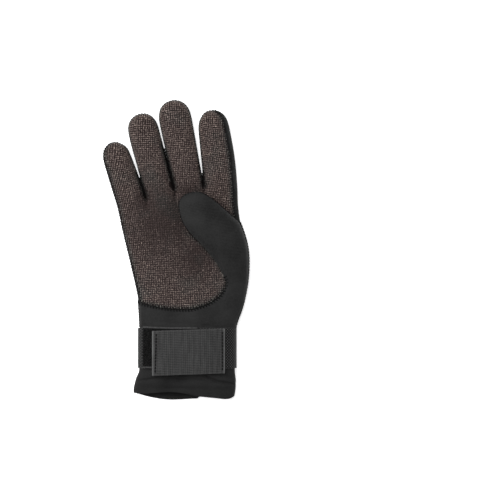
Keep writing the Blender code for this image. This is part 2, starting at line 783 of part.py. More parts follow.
def build_cuff(finish):
    """The gauntlet below the wrist joint: a tube open at its hem, creased in front and cut higher there."""
    top, seam, floor = palm_levels(0.0)
    rows = []
    for share, crease in zip(CUFF_ROWS + (1.0,), CUFF_CREASES + (0.0,)):
        left = column_of(CUFF_SIDES, 1, share) * PALM_WIDTH
        right = column_of(CUFF_SIDES, 2, share) * PALM_WIDTH
        down = ease((share - CUFF_CHANGE) / (CUFF_LOW - CUFF_CHANGE))
        row_top = mix(top, CUFF_THICKNESS, down)
        row_floor = mix(floor, 0.0, ease((share - CUFF_CHANGE) / (CUFF_FLOOR - CUFF_CHANGE)))
        row_seam = mix(seam, CUFF_THICKNESS * CUFF_SEAM, down)
        ring = wrist_ring(left, right, row_top, row_seam, row_floor, CUFF_STEPS)
        row = []
        for number, (x, z) in enumerate(ring):
            front = number <= CUFF_STEPS
            place = (2.0 * x - left - right) / (right - left)
            y = -share * CUFF_LENGTH - SEAM_GAP
            if share == 1.0:
                y = -column_of(CUFF_HEM, 1 if front else 2, place) * CUFF_LENGTH
            if front:
                z -= crease * CUFF_CREASE * arch(place, CREASE_ROUND)
            row.append((x, y, z))
        rows.append(row)
    points = np.array([point for row in rows for point in row])
    count = len(rows[0])
    faces = []
    for row in range(len(rows) - 1):
        for number in range(count):
            following = (number + 1) % count
            here, below = row * count, (row + 1) * count
            faces.append((here + number, below + number, below + following, here + following))
    normals = normals_of(points, faces)
    normals[:, 1] = 0.0
    normals /= np.linalg.norm(normals, axis=1)[:, None]
    inner = points - normals * NEOPRENE
    total = len(points)
    shell = list(faces) + [tuple(corner + total for corner in reversed(face)) for face in faces]
    for start, end in boundary_edges(faces):
        shell.append((end, start, start + total, end + total))
    return add_object("cuff", [tuple(point) for point in np.vstack([points, inner])], shell, finish)


def build_band(finish):
    """The webbing ring round the wrist, over the joint between the hand and the cuff."""
    line = wrist_line()
    rings = []
    for distance in (LAYER_GAP, LAYER_GAP + BAND_THICKNESS):
        rings.append(offset_line(line, distance, True))
    count = len(line)
    points = []
    for ring in rings:
        for y in (BAND_RAISE - BAND_WIDTH / 2.0, BAND_RAISE + BAND_WIDTH / 2.0):
            points += [(x, y, z) for x, z in ring]
    faces = []
    for number in range(count):
        after = (number + 1) % count
        loops = [(level * count + number, level * count + after) for level in range(4)]
        inner_low, inner_high, outer_low, outer_high = loops
        faces.append((outer_low[0], outer_low[1], outer_high[1], outer_high[0]))
        faces.append((inner_low[1], inner_low[0], inner_high[0], inner_high[1]))
        faces.append((outer_high[0], outer_high[1], inner_high[1], inner_high[0]))
        faces.append((inner_low[0], inner_low[1], outer_low[1], outer_low[0]))
    return add_object("wrist_band", points, faces, finish)


def lying_strip(name, left, length, width, middle_y, tilt, level_of, thickness, finish):
    """A flat strip over the front of the wrist. level_of gives its underside's distance from the wrist."""
    line = wrist_line()[:CUFF_STEPS * 2 + 1]
    right = left + length
    inside = [x for x, z in line if left + STRIP_MARGIN < x < right - STRIP_MARGIN]
    places = [left] + inside + [right]
    levels = {}
    for side in (0.0, thickness):
        heights = []
        for x in places:
            moved = offset_line(line, level_of(x) + side, False)
            heights.append(float(np.interp(x, moved[:, 0], moved[:, 1])))
        levels[side] = heights
    points = []
    centre = left + length / 2.0
    for side in (0.0, thickness):
        for end in (-width / 2.0, width / 2.0):
            for x, z in zip(places, levels[side]):
                y = middle_y + end + (x - centre) * math.tan(tilt)
                points.append((x, y, z))
    count = len(places)
    faces = []
    under_low, under_high, over_low, over_high = (level * count for level in range(4))
    for i in range(count - 1):
        faces.append((over_low + i, over_low + i + 1, over_high + i + 1, over_high + i))
        faces.append((under_low + i + 1, under_low + i, under_high + i, under_high + i + 1))
        faces.append((over_high + i, over_high + i + 1, under_high + i + 1, under_high + i))
        faces.append((under_low + i, under_low + i + 1, over_low + i + 1, over_low + i))
    end = count - 1
    faces.append((under_low, over_low, over_high, under_high))
    faces.append((under_low + end, under_high + end, over_high + end, over_low + end))
    return add_object(name, points, faces, finish)


def build_strap(webbing, loop, ribbed):
    """The band, the loop patch on it, and the tab closed over the patch and sewn to the band on the right."""
    build_band(webbing)
    loop_left = LOOP_LEFT * PALM_WIDTH
    tab_left = TAB_LEFT * PALM_WIDTH
    on_band = LAYER_GAP * 2.0 + BAND_THICKNESS
    on_loop = on_band + LOOP_THICKNESS + LAYER_GAP
    loop_end = loop_left + LOOP_LENGTH
    tab_end = tab_left + TAB_LENGTH

    def tab_level(x):
        start, end = loop_end + TAB_STEP_START, tab_end - TAB_STEP_END
        return mix(on_loop, on_band, ease((x - start) / (end - start)))

    lying_strip(
        "loop_patch", loop_left, LOOP_LENGTH, LOOP_WIDTH, BAND_RAISE + LOOP_RAISE, 0.0,
        lambda x: on_band, LOOP_THICKNESS, loop,
    )
    lying_strip(
        "strap_tab", tab_left, TAB_LENGTH, TAB_WIDTH, BAND_RAISE - TAB_DROP, TAB_TILT,
        tab_level, TAB_THICKNESS, ribbed,
    )


def centre_on_origin():
    """Moves every piece so that the origin is under the middle of the glove's box."""
    pieces = list(bpy.context.scene.collection.objects)
    corners = np.array([tuple(vertex.co) for piece in pieces for vertex in piece.data.vertices])
    low, high = corners.min(axis=0), corners.max(axis=0)
    shift = (-(low[0] + high[0]) / 2.0, -(low[1] + high[1]) / 2.0, -low[2])
    for piece in pieces:
        for vertex in piece.data.vertices:
            vertex.co.x += shift[0]
            vertex.co.y += shift[1]
            vertex.co.z += shift[2]


def build():
    neoprene = material("black neoprene", (0.026, 0.026, 0.026), 0.85)
    grip = material("pebbled brown grip", (0.062, 0.047, 0.044), 0.75)
    webbing = material("twill webbing", (0.028, 0.028, 0.028), 0.8)
    loop = material("loop pile", (0.010, 0.010, 0.010), 0.95)
    ribbed = material("ribbed webbing", (0.051, 0.051, 0.051), 0.75)

    surface = build_hand()
    points = np.array(surface.points)
    normals = normals_of(points, surface.faces)
    for corner, way in surface.creases.items():
        normals[corner] = way
    walls = np.full((len(points), 1), NEOPRENE)
    for corner, share in surface.thinned.items():
        walls[corner] *= share
    finishes = {"back_panel": neoprene, "palm_panel": grip, "thumb_panel": neoprene, "thumb_grip": grip}
    for name, finish in finishes.items():
        faces = [face for face, panel in zip(surface.faces, surface.panels) if panel == name]
        body, shell = panel_mesh(points, normals, faces, walls, free_y=0.0)
        add_object(name, body, shell, finish)
    build_cuff(neoprene)
    build_strap(webbing, loop, ribbed)
    centre_on_origin()


clear_scene()
build()
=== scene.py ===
"""Diving glove for a right hand, lying palm up: the finish of its panels, its seams, stitches and strap."""

import math
import random
from functools import partial

import bmesh
import bpy
import numpy as np
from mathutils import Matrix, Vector, noise
from mathutils.bvhtree import BVHTree
from mathutils.kdtree import KDTree


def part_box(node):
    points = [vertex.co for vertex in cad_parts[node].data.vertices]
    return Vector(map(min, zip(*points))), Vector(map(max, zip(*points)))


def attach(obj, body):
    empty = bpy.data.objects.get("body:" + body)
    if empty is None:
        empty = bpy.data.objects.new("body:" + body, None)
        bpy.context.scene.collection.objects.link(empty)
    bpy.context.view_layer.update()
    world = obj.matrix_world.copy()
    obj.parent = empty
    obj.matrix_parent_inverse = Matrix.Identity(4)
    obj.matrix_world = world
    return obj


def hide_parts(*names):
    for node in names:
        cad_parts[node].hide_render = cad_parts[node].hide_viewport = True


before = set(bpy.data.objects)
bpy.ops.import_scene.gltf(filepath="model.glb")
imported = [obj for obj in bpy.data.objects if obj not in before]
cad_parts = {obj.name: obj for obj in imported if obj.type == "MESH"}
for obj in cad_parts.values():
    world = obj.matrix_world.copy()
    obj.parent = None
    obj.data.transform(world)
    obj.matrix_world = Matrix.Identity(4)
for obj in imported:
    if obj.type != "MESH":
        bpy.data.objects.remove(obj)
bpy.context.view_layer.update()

MM = 0.001
edit = bpy.ops.mesh

# The photograph: metres in a pixel, and the pixel over the glove's origin.
PIXEL = 0.951 * MM
ORIGIN_PIXEL = (175.85, 249.87)
PHOTO_SIZE = 500
PHOTO_MIDDLE = (250.0, 250.0)

# Camera and room
CAMERA_HEIGHT = 6.0
SENSOR = 36.0
GLOVE_PLANE = 10.0 * MM
FLOOR_SIZE = 6.0
FLOOR_GLOW = 0.6
FLOOR_DROP = 0.05 * MM
WORLD_LIGHT = 0.25
LIGHTS = [
    # name, place, size, power
    ("overhead_softbox", (-0.35, 0.35, 1.6), (1.2, 1.2), 30.0),
    ("left_softbox", (-1.2, 0.3, 1.0), (0.8, 1.2), 16.0),
    ("right_softbox", (1.4, -0.3, 0.9), (0.9, 1.2), 3.0),
]

# Panels
MERGE = 0.001 * MM
SHARP = math.radians(60.0)
RIM_CREASE = 0.55
FACING = 0.9
OUTSIDE = 1
INSIDE = 0.05 * MM
THICKEST_WALL = 5.0 * MM
TINY = 1e-9
ON_SHEET = 0.02 * MM
ABOVE_ALL = 0.1
DOWN = Vector((0.0, 0.0, -1.0))
UP = np.array([0.0, 0.0, 1.0])
ASKEW = np.array([0.31, 0.17, 0.93])
QUAD_FOLD = math.radians(55.0)
QUAD_SKEW = math.radians(70.0)
PANEL_LEVELS = 3
STRIP_CREASE = 0.9
SHEEN_ROUGHNESS = 0.45
RIPPLE_DEPTH = 0.45 * MM
RIPPLE_SIZE = 22.0 * MM
RIPPLE_ROOM = 4.0 * MM

# Grip relief, moulded in short bars that nearly touch, so that small dark pits are left between them
BAR_PITCH = 1.75 * MM
BAR_JITTER = 0.13
BAR_WIDTH = 1.15 * MM
BAR_LENGTH = 1.8 * MM
BAR_HEIGHT = 0.38 * MM
BAR_TURN = 0.12
BAR_LENGTHS = (0.75, 1.2)
BAR_WIDTHS = (0.85, 1.15)
BAR_HEIGHTS = (0.8, 1.2)
BAR_ROOT = 0.15 * MM
BAR_TOP = 0.7
BAR_SIDES = 4
BAR_MARGIN = 0.3 * MM
# How far in from the seams the bars turn greyer, a painted sheen
RIM_WIDTH = 5.0 * MM
SHADE_SPREAD = 0.14
# How much painted shade darkens the bars in the hollow of the palm
HOLLOW_SHADE = 0.56

# Hollow of the palm, where the bars are painted darkest as painted shade, and how far that painted shade
# reaches
PALM_HOLLOWS = [
    # x, y, reach in pixels
    (166.0, 220.0, 34.0),
    (198.0, 256.0, 20.0),
    (146.0, 206.0, 14.0),
    (190.0, 196.0, 14.0),
]

# Seams: how far they pull the cloth in, and the thread that crosses them
SEAM_SINK = 0.4 * MM
SEAM_SINK_WIDTH = 1.3 * MM
STITCH_PITCH = 2.8 * MM
STITCH_REACH = 2.0 * MM
STITCH_SLANT = 1.3 * MM
THREAD_RADIUS = 0.5 * MM
THREAD_LIFT = 0.42 * MM
THREAD_TAPER = 0.6
# A black cord in each seam's groove, a dark thing that stands in for the shade in the groove
SHADE_CORD_RADIUS = 0.38 * MM
SEAM_NEAR = 2.2 * MM
SIDE_SWELL = 0.3 * MM
SHADE_CORD_STEP = 2.0 * MM
SAME_SEAM = 2.5 * MM
STEEPEST_STITCH = 5.0 * MM

# Ribbed tab and its running stitches. The real ribs are about 1.2 mm apart, and these are coarser so that
# they show.
RIB_PITCH = 1.8 * MM
RIB_DEPTH = 0.10 * MM
SELVAGE = 1.5 * MM
SELVAGE_RISE = 0.14 * MM
TAB_EDGE = 0.7 * MM
EDGE_BLUR = 0.3 * MM
END_NEAR = 0.3 * MM
TAB_STITCH_PITCH = 3.1 * MM
TAB_STITCH_LENGTH = 2.0 * MM
TAB_STITCH_RADIUS = 0.7 * MM
TAB_STITCH_MARGIN = 3.0 * MM
TAB_ROWS = [
    # distance from the tab's end at its lower and at its upper edge, in mm, and which end
    (2.8, 4.0, -1.0),
    (2.3, 2.3, 1.0),
]

# Twill webbing of the wrist band. The real floats are 1.5 mm apart, and these are coarser so that they show.
TWILL_PITCH = 2.7 * MM
TWILL_DEPTH = 0.35 * MM
TWILL_CLEAR = 0.5 * MM
BAND_CUTS = 9
LONG_EDGE = 20.0 * MM
ANGLE_BINS = 180

# Loop tape: its flat woven edges, and the pile between them
TAPE_EDGE = 1.4 * MM
TAPE_STRETCH = 1.035
TAPE_TILT = 0.9 * MM
PILE_COUNT = 2100
PILE_HEIGHT = 0.9 * MM
PILE_SPAN = 1.1 * MM
PILE_RADIUS = 0.08 * MM
PILE_SPANS = (0.5, 1.2)
PILE_HEIGHTS = (0.5, 1.1)
PILE_LEAN = 0.5
PILE_MARGIN = 0.5 * MM

# Folds pressed into the cloth: how they fade at their ends, and the low swell beside each, as a share of
# its depth,
# with its place and its spread in widths of the fold
FOLD_FADE = 0.04
FOLD_SWELL = 0.35
SWELL_PLACE = 2.0
SWELL_SPREAD = 1.1

# The folds, as lines between two pixels of the photograph
CUFF_FOLDS = [
    # x0, y0, x1, y1, depth in mm, width in mm
    (137.0, 381.0, 160.0, 378.0, 0.9, 1.5),
    (160.0, 379.0, 205.0, 381.0, 0.6, 1.6),
    (204.0, 375.0, 217.0, 381.5, 2.4, 1.3),
    (215.0, 381.0, 236.0, 384.5, 2.2, 1.4),
    (150.0, 387.0, 196.0, 389.0, 0.5, 1.8),
    (200.0, 389.0, 230.0, 391.0, 0.5, 1.8),
]
THUMB_FOLDS = [
    # x0, y0, x1, y1, depth in mm, width in mm
    (203.0, 326.0, 214.0, 326.5, 0.9, 1.3),
    (150.0, 322.0, 200.0, 324.0, 0.35, 1.6),
    (241.0, 224.0, 231.0, 231.0, 0.7, 1.8),
    (215.0, 316.0, 240.0, 305.0, 0.4, 2.4),
    (180.0, 214.0, 184.0, 226.0, 0.35, 1.8),
]
PALM_FOLDS = [
    # x0, y0, x1, y1, depth in mm, width in mm
    (124.0, 232.0, 176.0, 214.0, 0.5, 4.0),
    (135.0, 268.0, 190.0, 240.0, 0.45, 5.0),
]

# Where two fingers part: the top of the gap, where it closes, and where the crease below it ends. The crease
# is pressed in, and the bars beside it are painted darker as painted shade.
CREASE_DEPTH = 1.9
CREASE_WIDTH = 1.7
# Bars are left out this near each crease. Out to CREASE_SHADE beyond that, they carry painted shade
CREASE_BARE = 1.3 * MM
CREASE_SHADE = 3.2 * MM
GAP_REACH = 7.0 * PIXEL
FINGER_GAPS = [
    # x and y in pixels: gap's top, crease's top, crease's foot; then how far the gap's sides swell, in mm
    (124.0, 146.0, 138.0, 174.0, 146.3, 198.0, -0.45),
    (156.0, 112.0, 163.0, 145.0, 174.3, 188.0, 0.0),
    (197.0, 110.0, 202.0, 169.0, 203.8, 185.5, -0.45),
]

# The seam on the little finger's side is carried out over the edge of the hand
SEAM_SLIDE = [
    # distance from the hand's outline before and after, in pixels
    (0.0, 0.0),
    (4.6, 1.2),
    (18.0, 18.0),
]
SLIDE_ENDS = [
    # y in pixels, share of the slide
    (140.0, 0.0),
    (152.0, 1.0),
    (301.0, 1.0),
    (309.0, 0.0),
]
SLIDE_ROW = 1.0 * MM

# The cuff's hem: how far its front is drawn up over the opening, and how far its back hangs below
HEM_REACH = 12.0 * MM
HEM_FADE = 1.5
HEM_NEAR = 0.3
HEM_SHAPE = [
    # x in pixels, front rise in mm, back drop in mm
    (136.0, 0.0, 0.0),
    (148.0, 0.8, 0.2),
    (158.0, 2.2, 1.0),
    (172.0, 2.9, 1.4),
    (185.0, 2.3, 1.3),
    (197.5, 0.9, 1.2),
    (199.0, 0.8, -0.9),
    (212.0, 0.6, -0.6),
    (225.0, 0.0, 0.0),
]

rng = random.Random(11)


def at_pixel(px, py):
    """The place on the floor under a pixel of the photograph."""
    return (px - ORIGIN_PIXEL[0]) * PIXEL, (ORIGIN_PIXEL[1] - py) * PIXEL


def only(piece):
    """Selects this object and nothing else, and makes it active."""
    bpy.ops.object.select_all(action="DESELECT")
    piece.select_set(True)
    bpy.context.view_layer.objects.active = piece


def unit(ways):
    """These directions, each made one long."""
    return ways / np.maximum(np.linalg.norm(ways, axis=-1, keepdims=True), TINY)


def colour(text):
    """An sRGB hex value as linear red, green, blue and alpha."""
    linear = []
    for start in (0, 2, 4):
        value = int(text[start:start + 2], 16) / 255.0
        linear.append(value / 12.92 if value <= 0.04045 else ((value + 0.055) / 1.055) ** 2.4)
    return (*linear, 1.0)


def add_node(tree, kind, inputs=None, out=0, stops=(), into=None, **settings):
    """Adds a shader node with its settings, its inputs (each a value or a socket to link) and a colour
    ramp's (place, hex) stops. Returns the output that is asked for, linked into the named input of the
    shader if there is one."""
    made = tree.nodes.new("ShaderNode" + kind)
    for name, value in settings.items():
        setattr(made, name, value)
    for name, value in (inputs or {}).items():
        if isinstance(value, bpy.types.NodeSocket):
            tree.links.new(value, made.inputs[name])
        else:
            made.inputs[name].default_value = value
    if stops:
        steps = made.color_ramp.elements
        while len(steps) < len(stops):
            steps.new(0.5)
        for step, (place, text) in zip(steps, stops):
            step.position = place
            step.color = colour(text)
    if into:
        tree.links.new(made.outputs[out], tree.nodes["Principled BSDF"].inputs[into])
    return made.outputs[out]


def new_material(name, roughness, specular, sheen=0.0):
    """A material with a Principled shader. Returns it with the function that adds nodes to it."""
    made = bpy.data.materials.new(name)
    made.use_nodes = True
    sockets = made.node_tree.nodes["Principled BSDF"].inputs
    sockets["Roughness"].default_value = roughness
    sockets["Specular IOR Level"].default_value = specular
    sockets["Sheen Weight"].default_value = sheen
    sockets["Sheen Roughness"].default_value = SHEEN_ROUGHNESS
    return made, partial(add_node, made.node_tree)


def wave_scale(period):
    """The Wave texture's scale for bands that are this far apart."""
    return math.pi / 10.0 / period


def jersey_neoprene(name, dark, light):
    """Foam neoprene faced with black nylon jersey: matt, with fine rows of knitted loops that break up the
    light. The loops are 0.6 mm apart on the real cloth and 1.1 to 1.3 mm here, so that they show."""
    made, add = new_material(name, roughness=0.85, sheen=0.03, specular=0.06)
    place = add("TexCoord", out="Object")
    wave = {"Vector": add("TexCoord", out="UV"), "Distortion": 1.2, "Detail": 2.0, "Detail Scale": 1.5}
    across = add("TexWave", {**wave, "Scale": wave_scale(1.1 * MM)}, "Fac", bands_direction="X")
    along = add("TexWave", {**wave, "Scale": wave_scale(1.3 * MM)}, "Fac", bands_direction="Y")
    loops = add("Math", {0: across, 1: along}, operation="MULTIPLY")
    cloud = add("TexNoise", {"Vector": place, "Scale": 45.0, "Detail": 6.0})
    grain = add("TexNoise", {"Vector": place, "Scale": 800.0, "Detail": 2.0})
    speckle = add("Math", {0: loops, 1: 0.5, 2: cloud}, operation="MULTIPLY_ADD")
    tone = add("Math", {0: grain, 1: 0.5, 2: speckle}, operation="MULTIPLY_ADD")
    height = add("Math", {0: grain, 1: 0.5, 2: loops}, operation="MULTIPLY_ADD")
    add("ValToRGB", {"Fac": tone}, stops=[(0.5, dark), (1.0, light)], into="Base Color")
    add("Bump", {"Height": height, "Strength": 0.4, "Distance": 0.3 * MM}, into="Normal")
    return made


def grip_ground():
    """Dark brown polyurethane print between the raised bars: matt and slightly rubbery, and almost black."""
    made, add = new_material("pebbled_grip_ground", roughness=0.8, specular=0.06)
    place = add("TexCoord", out="Object")
    cloud = add("TexNoise", {"Vector": place, "Scale": 38.0, "Detail": 3.0})
    grain = add("TexNoise", {"Vector": place, "Scale": 700.0, "Detail": 3.0})
    shades = [(0.3, "1e1817"), (0.5, "221c1b"), (0.7, "201f1e")]
    add("ValToRGB", {"Fac": cloud}, stops=shades, into="Base Color")
    add("Bump", {"Height": grain, "Strength": 0.3, "Distance": 0.2 * MM}, into="Normal")
    return made


def grip_bars():
    """The raised bars of the grip: brown, lighter or darker at random, and darker in the hollow of the palm
    and by the creases between fingers as painted shade. They are greyer in random patches, greyer towards the
    seams as painted sheen, and greyer beside the creases as painted shade."""
    made, add = new_material("pebbled_grip_bars", roughness=0.6, specular=0.15)
    place = add("TexCoord", out="Object")
    shade = add("Attribute", out="Fac", attribute_name="shade")
    # rim: painted sheen towards the seams, and painted shade beside the finger creases
    rim = add("Attribute", out="Fac", attribute_name="rim")
    cloud = add("TexNoise", {"Vector": place, "Scale": 38.0, "Detail": 3.0})
    brown = add("ValToRGB", {"Fac": shade}, stops=[(0.0, "3a302e"), (0.5, "5f534f"), (1.0, "8a7b73")])
    grey = add("ValToRGB", {"Fac": shade}, stops=[(0.0, "2f302e"), (0.5, "4c4d4b"), (1.0, "6b6c67")])
    patch = add("MapRange", {"Value": cloud, "From Min": 0.52, "From Max": 0.7, "To Max": 0.3})
    greyness = add("Math", {0: rim, 1: patch}, operation="MAXIMUM")
    add("MixRGB", {"Fac": greyness, "Color1": brown, "Color2": grey}, into="Base Color")
    return made


def twill():
    """Black polyester webbing in twill: small raised floats in a diamond grid, each with a painted highlight
    on its top.
    """
    made, add = new_material("twill_webbing", roughness=0.65, sheen=0.04, specular=0.15)
    weave = add("Attribute", out="Fac", attribute_name="weave")
    uv = add("TexCoord", out="UV")
    wave = {"Vector": uv, "Scale": wave_scale(0.4 * MM), "Distortion": 1.0, "Detail": 1.0}
    fibres = add("TexWave", wave, "Fac", bands_direction="DIAGONAL")
    # Painted highlight: the higher a float, the lighter its colour
    shades = [(0.5, "020202"), (0.68, "0e0e0e"), (0.92, "5a5a5a")]
    add("ValToRGB", {"Fac": weave}, stops=shades, into="Base Color")
    add("Bump", {"Height": fibres, "Strength": 0.3, "Distance": 0.12 * MM}, into="Normal")
    return made


def ribbed_webbing():
    """Grey nylon closure tape seen from its back: fine crosswise threads, darker creases along its ribs,
    and paler, folded ends. The threads are 0.6 mm apart on the real tape and 1.6 mm here, so that they
    show."""
    made, add = new_material("ribbed_webbing", roughness=0.75, sheen=0.03, specular=0.08)
    weave = add("Attribute", out="Fac", attribute_name="weave")
    edge = add("Attribute", out="Fac", attribute_name="edge")
    uv = add("TexCoord", out="UV")
    stretched = add("Mapping", {"Vector": uv, "Scale": (420.0, 55.0, 1.0)})
    streaks = add("TexNoise", {"Vector": stretched, "Scale": 1.0, "Detail": 2.0})
    wave = {"Vector": uv, "Scale": wave_scale(1.6 * MM), "Distortion": 2.5, "Detail": 2.0}
    threads = add("TexWave", {**wave, "Detail Scale": 2.0}, "Fac", bands_direction="Y")
    wave = {"Vector": uv, "Scale": wave_scale(5.5 * MM), "Distortion": 0.6, "Detail": 1.0}
    creases = add("TexWave", wave, "Fac", bands_direction="X")
    tone = 0.0
    for pattern, share in ((streaks, 0.55), (weave, 0.25), (threads, 0.35), (creases, 0.05)):
        tone = add("Math", {0: pattern, 1: share, 2: tone}, operation="MULTIPLY_ADD")
    body = add("ValToRGB", {"Fac": tone}, stops=[(0.35, "212121"), (0.62, "2f2f2f"), (0.9, "3e3e3e")])
    pale = add("ValToRGB", {"Fac": streaks}, stops=[(0.3, "444444"), (0.7, "565656")])
    add("MixRGB", {"Fac": edge, "Color1": body, "Color2": pale}, into="Base Color")
    add("Bump", {"Height": threads, "Strength": 0.4, "Distance": 0.15 * MM}, into="Normal")
    return made


def loop_tape():
    """Black nylon loop tape: the ground under the pile is nearly black, and its flat woven edges are dark
    grey."""
    made, add = new_material("loop_tape_ground", roughness=0.9, specular=0.05)
    edge = add("Attribute", out="Fac", attribute_name="edge")
    tangle = add("TexNoise", {"Vector": add("TexCoord", out="Object"), "Scale": 1100.0, "Detail": 3.0})
    deep = add("ValToRGB", {"Fac": tangle}, stops=[(0.35, "060606"), (0.75, "141414")])
    woven = add("ValToRGB", {"Fac": tangle}, stops=[(0.3, "2c2c2c"), (0.7, "424242")])
    add("MixRGB", {"Fac": edge, "Color1": deep, "Color2": woven}, into="Base Color")
    add("Bump", {"Height": tangle, "Strength": 0.6, "Distance": 0.4 * MM}, into="Normal")
    return made


def loop_pile():
    """The tape's pile: fine black nylon loops that glint a little where they bend."""
    made, add = new_material("loop_pile", roughness=0.6, specular=0.12)
    tangle = add("TexNoise", {"Vector": add("TexCoord", out="Object"), "Scale": 500.0, "Detail": 2.0})
    add("ValToRGB", {"Fac": tangle}, stops=[(0.3, "090909"), (0.7, "2a2a2a")], into="Base Color")
    return made


def sewing_thread():
    """Bonded polyester sewing thread, black and matt, with its two plies showing as a fine slant."""
    made, add = new_material("black_sewing_thread", roughness=0.6, specular=0.1)
    wave = {"Vector": add("TexCoord", out="Object"), "Scale": wave_scale(0.5 * MM), "Distortion": 0.5}
    plies = add("TexWave", wave, "Fac", bands_direction="DIAGONAL")
    add("ValToRGB", {"Fac": plies}, stops=[(0.2, "050505"), (0.9, "101010")], into="Base Color")
    add("Bump", {"Height": plies, "Strength": 0.3, "Distance": 0.08 * MM}, into="Normal")
    return made


def studio_floor():
    """Opal acrylic sheet lit from below, as on a light table: plain white, with a barely visible grain."""
    made, add = new_material("opal_acrylic_floor", roughness=0.9, specular=0.1)
    sockets = made.node_tree.nodes["Principled BSDF"].inputs
    sockets["Emission Color"].default_value = colour("ffffff")
    sockets["Emission Strength"].default_value = FLOOR_GLOW
    cloud = add("TexNoise", {"Vector": add("TexCoord", out="Object"), "Scale": 3.0, "Detail": 2.0})
    add("ValToRGB", {"Fac": cloud}, stops=[(0.3, "f8f8f8"), (0.7, "fafafa")], into="Base Color")
    return made


def select_faces(piece, wanted):
    """In edit mode, selects the faces that the test accepts, and no others."""
    shape = bmesh.from_edit_mesh(piece.data)
    for face in shape.faces:
        face.select_set(not face.hide and bool(wanted(face)))
    shape.select_flush_mode()
    bmesh.update_edit_mesh(piece.data)


def opened_copy(name, node):
    """A new piece with a copy of a node's mesh, its loose triangles merged into quads. It is left in edit
    mode."""
    piece = bpy.data.objects.new(name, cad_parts[node].data.copy())
    bpy.context.scene.collection.objects.link(piece)
    only(piece)
    bpy.ops.object.mode_set(mode="EDIT")
    edit.select_mode(type="FACE")
    edit.select_all(action="SELECT")
    edit.customdata_custom_splitnormals_clear()
    edit.remove_doubles(threshold=MERGE)
    edit.faces_shade_smooth()
    edit.tris_convert_to_quads(face_threshold=QUAD_FOLD, shape_threshold=QUAD_SKEW)
    edit.select_all(action="DESELECT")
    return piece


def crease_rims(piece, crease):
    """Marks the edges where a wall turns into its rim as seams of the flat cut, and creases them."""
    edit.select_mode(type="EDGE")
    edit.select_all(action="DESELECT")
    edit.edges_select_sharp(sharpness=SHARP)
    edit.mark_seam(clear=False)
    bpy.ops.transform.edge_crease(value=crease)
    edit.select_mode(type="FACE")


def split_outside(piece, lining, finish, top):
    """Gives the outer sheet of a wall its finish, and the rest its lining. top says whether the outer sheet
    holds the highest face, or else the lowest. The wall's rims, which have no other side close behind them,
    are hidden while the sheet is selected."""
    piece.data.materials.clear()
    piece.data.materials.append(lining)
    piece.data.materials.append(finish)
    shape = bmesh.from_edit_mesh(piece.data)
    wall = BVHTree.FromBMesh(shape)
    rims, heights = set(), {}
    side = 1.0 if top else -1.0
    for face in shape.faces:
        face.material_index = 0
        middle = face.calc_center_median()
        if wall.ray_cast(middle - face.normal * INSIDE, -face.normal, THICKEST_WALL)[0] is None:
            rims.add(face.index)
        elif side * face.normal.z > FACING:
            heights[face.index] = side * middle.z
    first = max(heights, key=heights.get)
    bmesh.update_edit_mesh(piece.data)
    select_faces(piece, lambda face: face.index in rims)
    edit.hide(unselected=False)
    select_faces(piece, lambda face: face.index == first)
    edit.faces_select_linked_flat(sharpness=SHARP)
    piece.active_material_index = OUTSIDE
    bpy.ops.object.material_slot_assign()
    edit.reveal(select=False)


def outer_loops(mesh):
    """The numbers of the face corners that belong to the outer sheet."""
    return [loop for face in mesh.polygons if face.material_index == OUTSIDE for loop in face.loop_indices]


def flat_area(a, b, c):
    """The area of flat triangles, from their corners."""
    return np.abs((b - a)[:, 0] * (c - a)[:, 1] - (b - a)[:, 1] * (c - a)[:, 0]).sum() / 2.0


def unwrap_flat(piece):
    """Lays the walls out flat, as they were cut, in metres and turned as the hand lies."""
    edit.select_all(action="SELECT")
    bpy.ops.uv.unwrap(method="ANGLE_BASED", margin=0.001)
    bpy.ops.uv.average_islands_scale()
    bpy.ops.object.mode_set(mode="OBJECT")
    mesh = piece.data
    mesh.calc_loop_triangles()
    corners = np.array([triangle.loops for triangle in mesh.loop_triangles])
    flat = np.empty(len(mesh.loops) * 2, np.float32)
    mesh.uv_layers.active.data.foreach_get("uv", flat)
    flat = flat.reshape(-1, 2)
    places = np.array([mesh.vertices[loop.vertex_index].co for loop in mesh.loops])
    a, b, c = (places[corners[:, number]] for number in range(3))
    solid_area = np.linalg.norm(np.cross(b - a, c - a), axis=1).sum() / 2.0
    flat = flat * math.sqrt(solid_area / flat_area(*(flat[corners[:, number]] for number in range(3))))
    outer = outer_loops(mesh)
    drawn = flat[outer, 0] + 1j * flat[outer, 1]
    seen = places[outer, 0] + 1j * places[outer, 1]
    turn = np.sum(np.conj(drawn - drawn.mean()) * (seen - seen.mean()))
    turned = (flat[:, 0] + 1j * flat[:, 1]) * turn / abs(turn)
    flat = np.stack([turned.real, turned.imag], axis=1)
    mesh.uv_layers.active.data.foreach_set("uv", flat.astype(np.float32).ravel())


def soften(piece, levels):
    """Rounds the piece with a subdivision surface."""
    only(piece)
    made = piece.modifiers.new("soft", "SUBSURF")
    made.levels = levels
    made.render_levels = levels
    bpy.ops.object.modifier_apply(modifier=made.name)


def panel(name, node, finish, lining, top=True):
    """A soft panel from its node's solid, with its outside finished and its flat cut laid out."""
    piece = opened_copy(name, node)
    crease_rims(piece, RIM_CREASE)
    split_outside(piece, lining, finish, top)
    unwrap_flat(piece)
    soften(piece, PANEL_LEVELS)
    return piece


def vertex_table(piece):
    """The vertices' places and normals as two arrays."""
    mesh = piece.data
    places = np.empty(len(mesh.vertices) * 3, np.float32)
    mesh.vertices.foreach_get("co", places)
    normals = np.empty(len(mesh.vertices) * 3, np.float32)
    mesh.vertex_normals.foreach_get("vector", normals)
    return places.reshape(-1, 3).astype(float), normals.reshape(-1, 3).astype(float)


def set_places(piece, places):
    piece.data.vertices.foreach_set("co", places.astype(np.float32).ravel())
    piece.data.update()


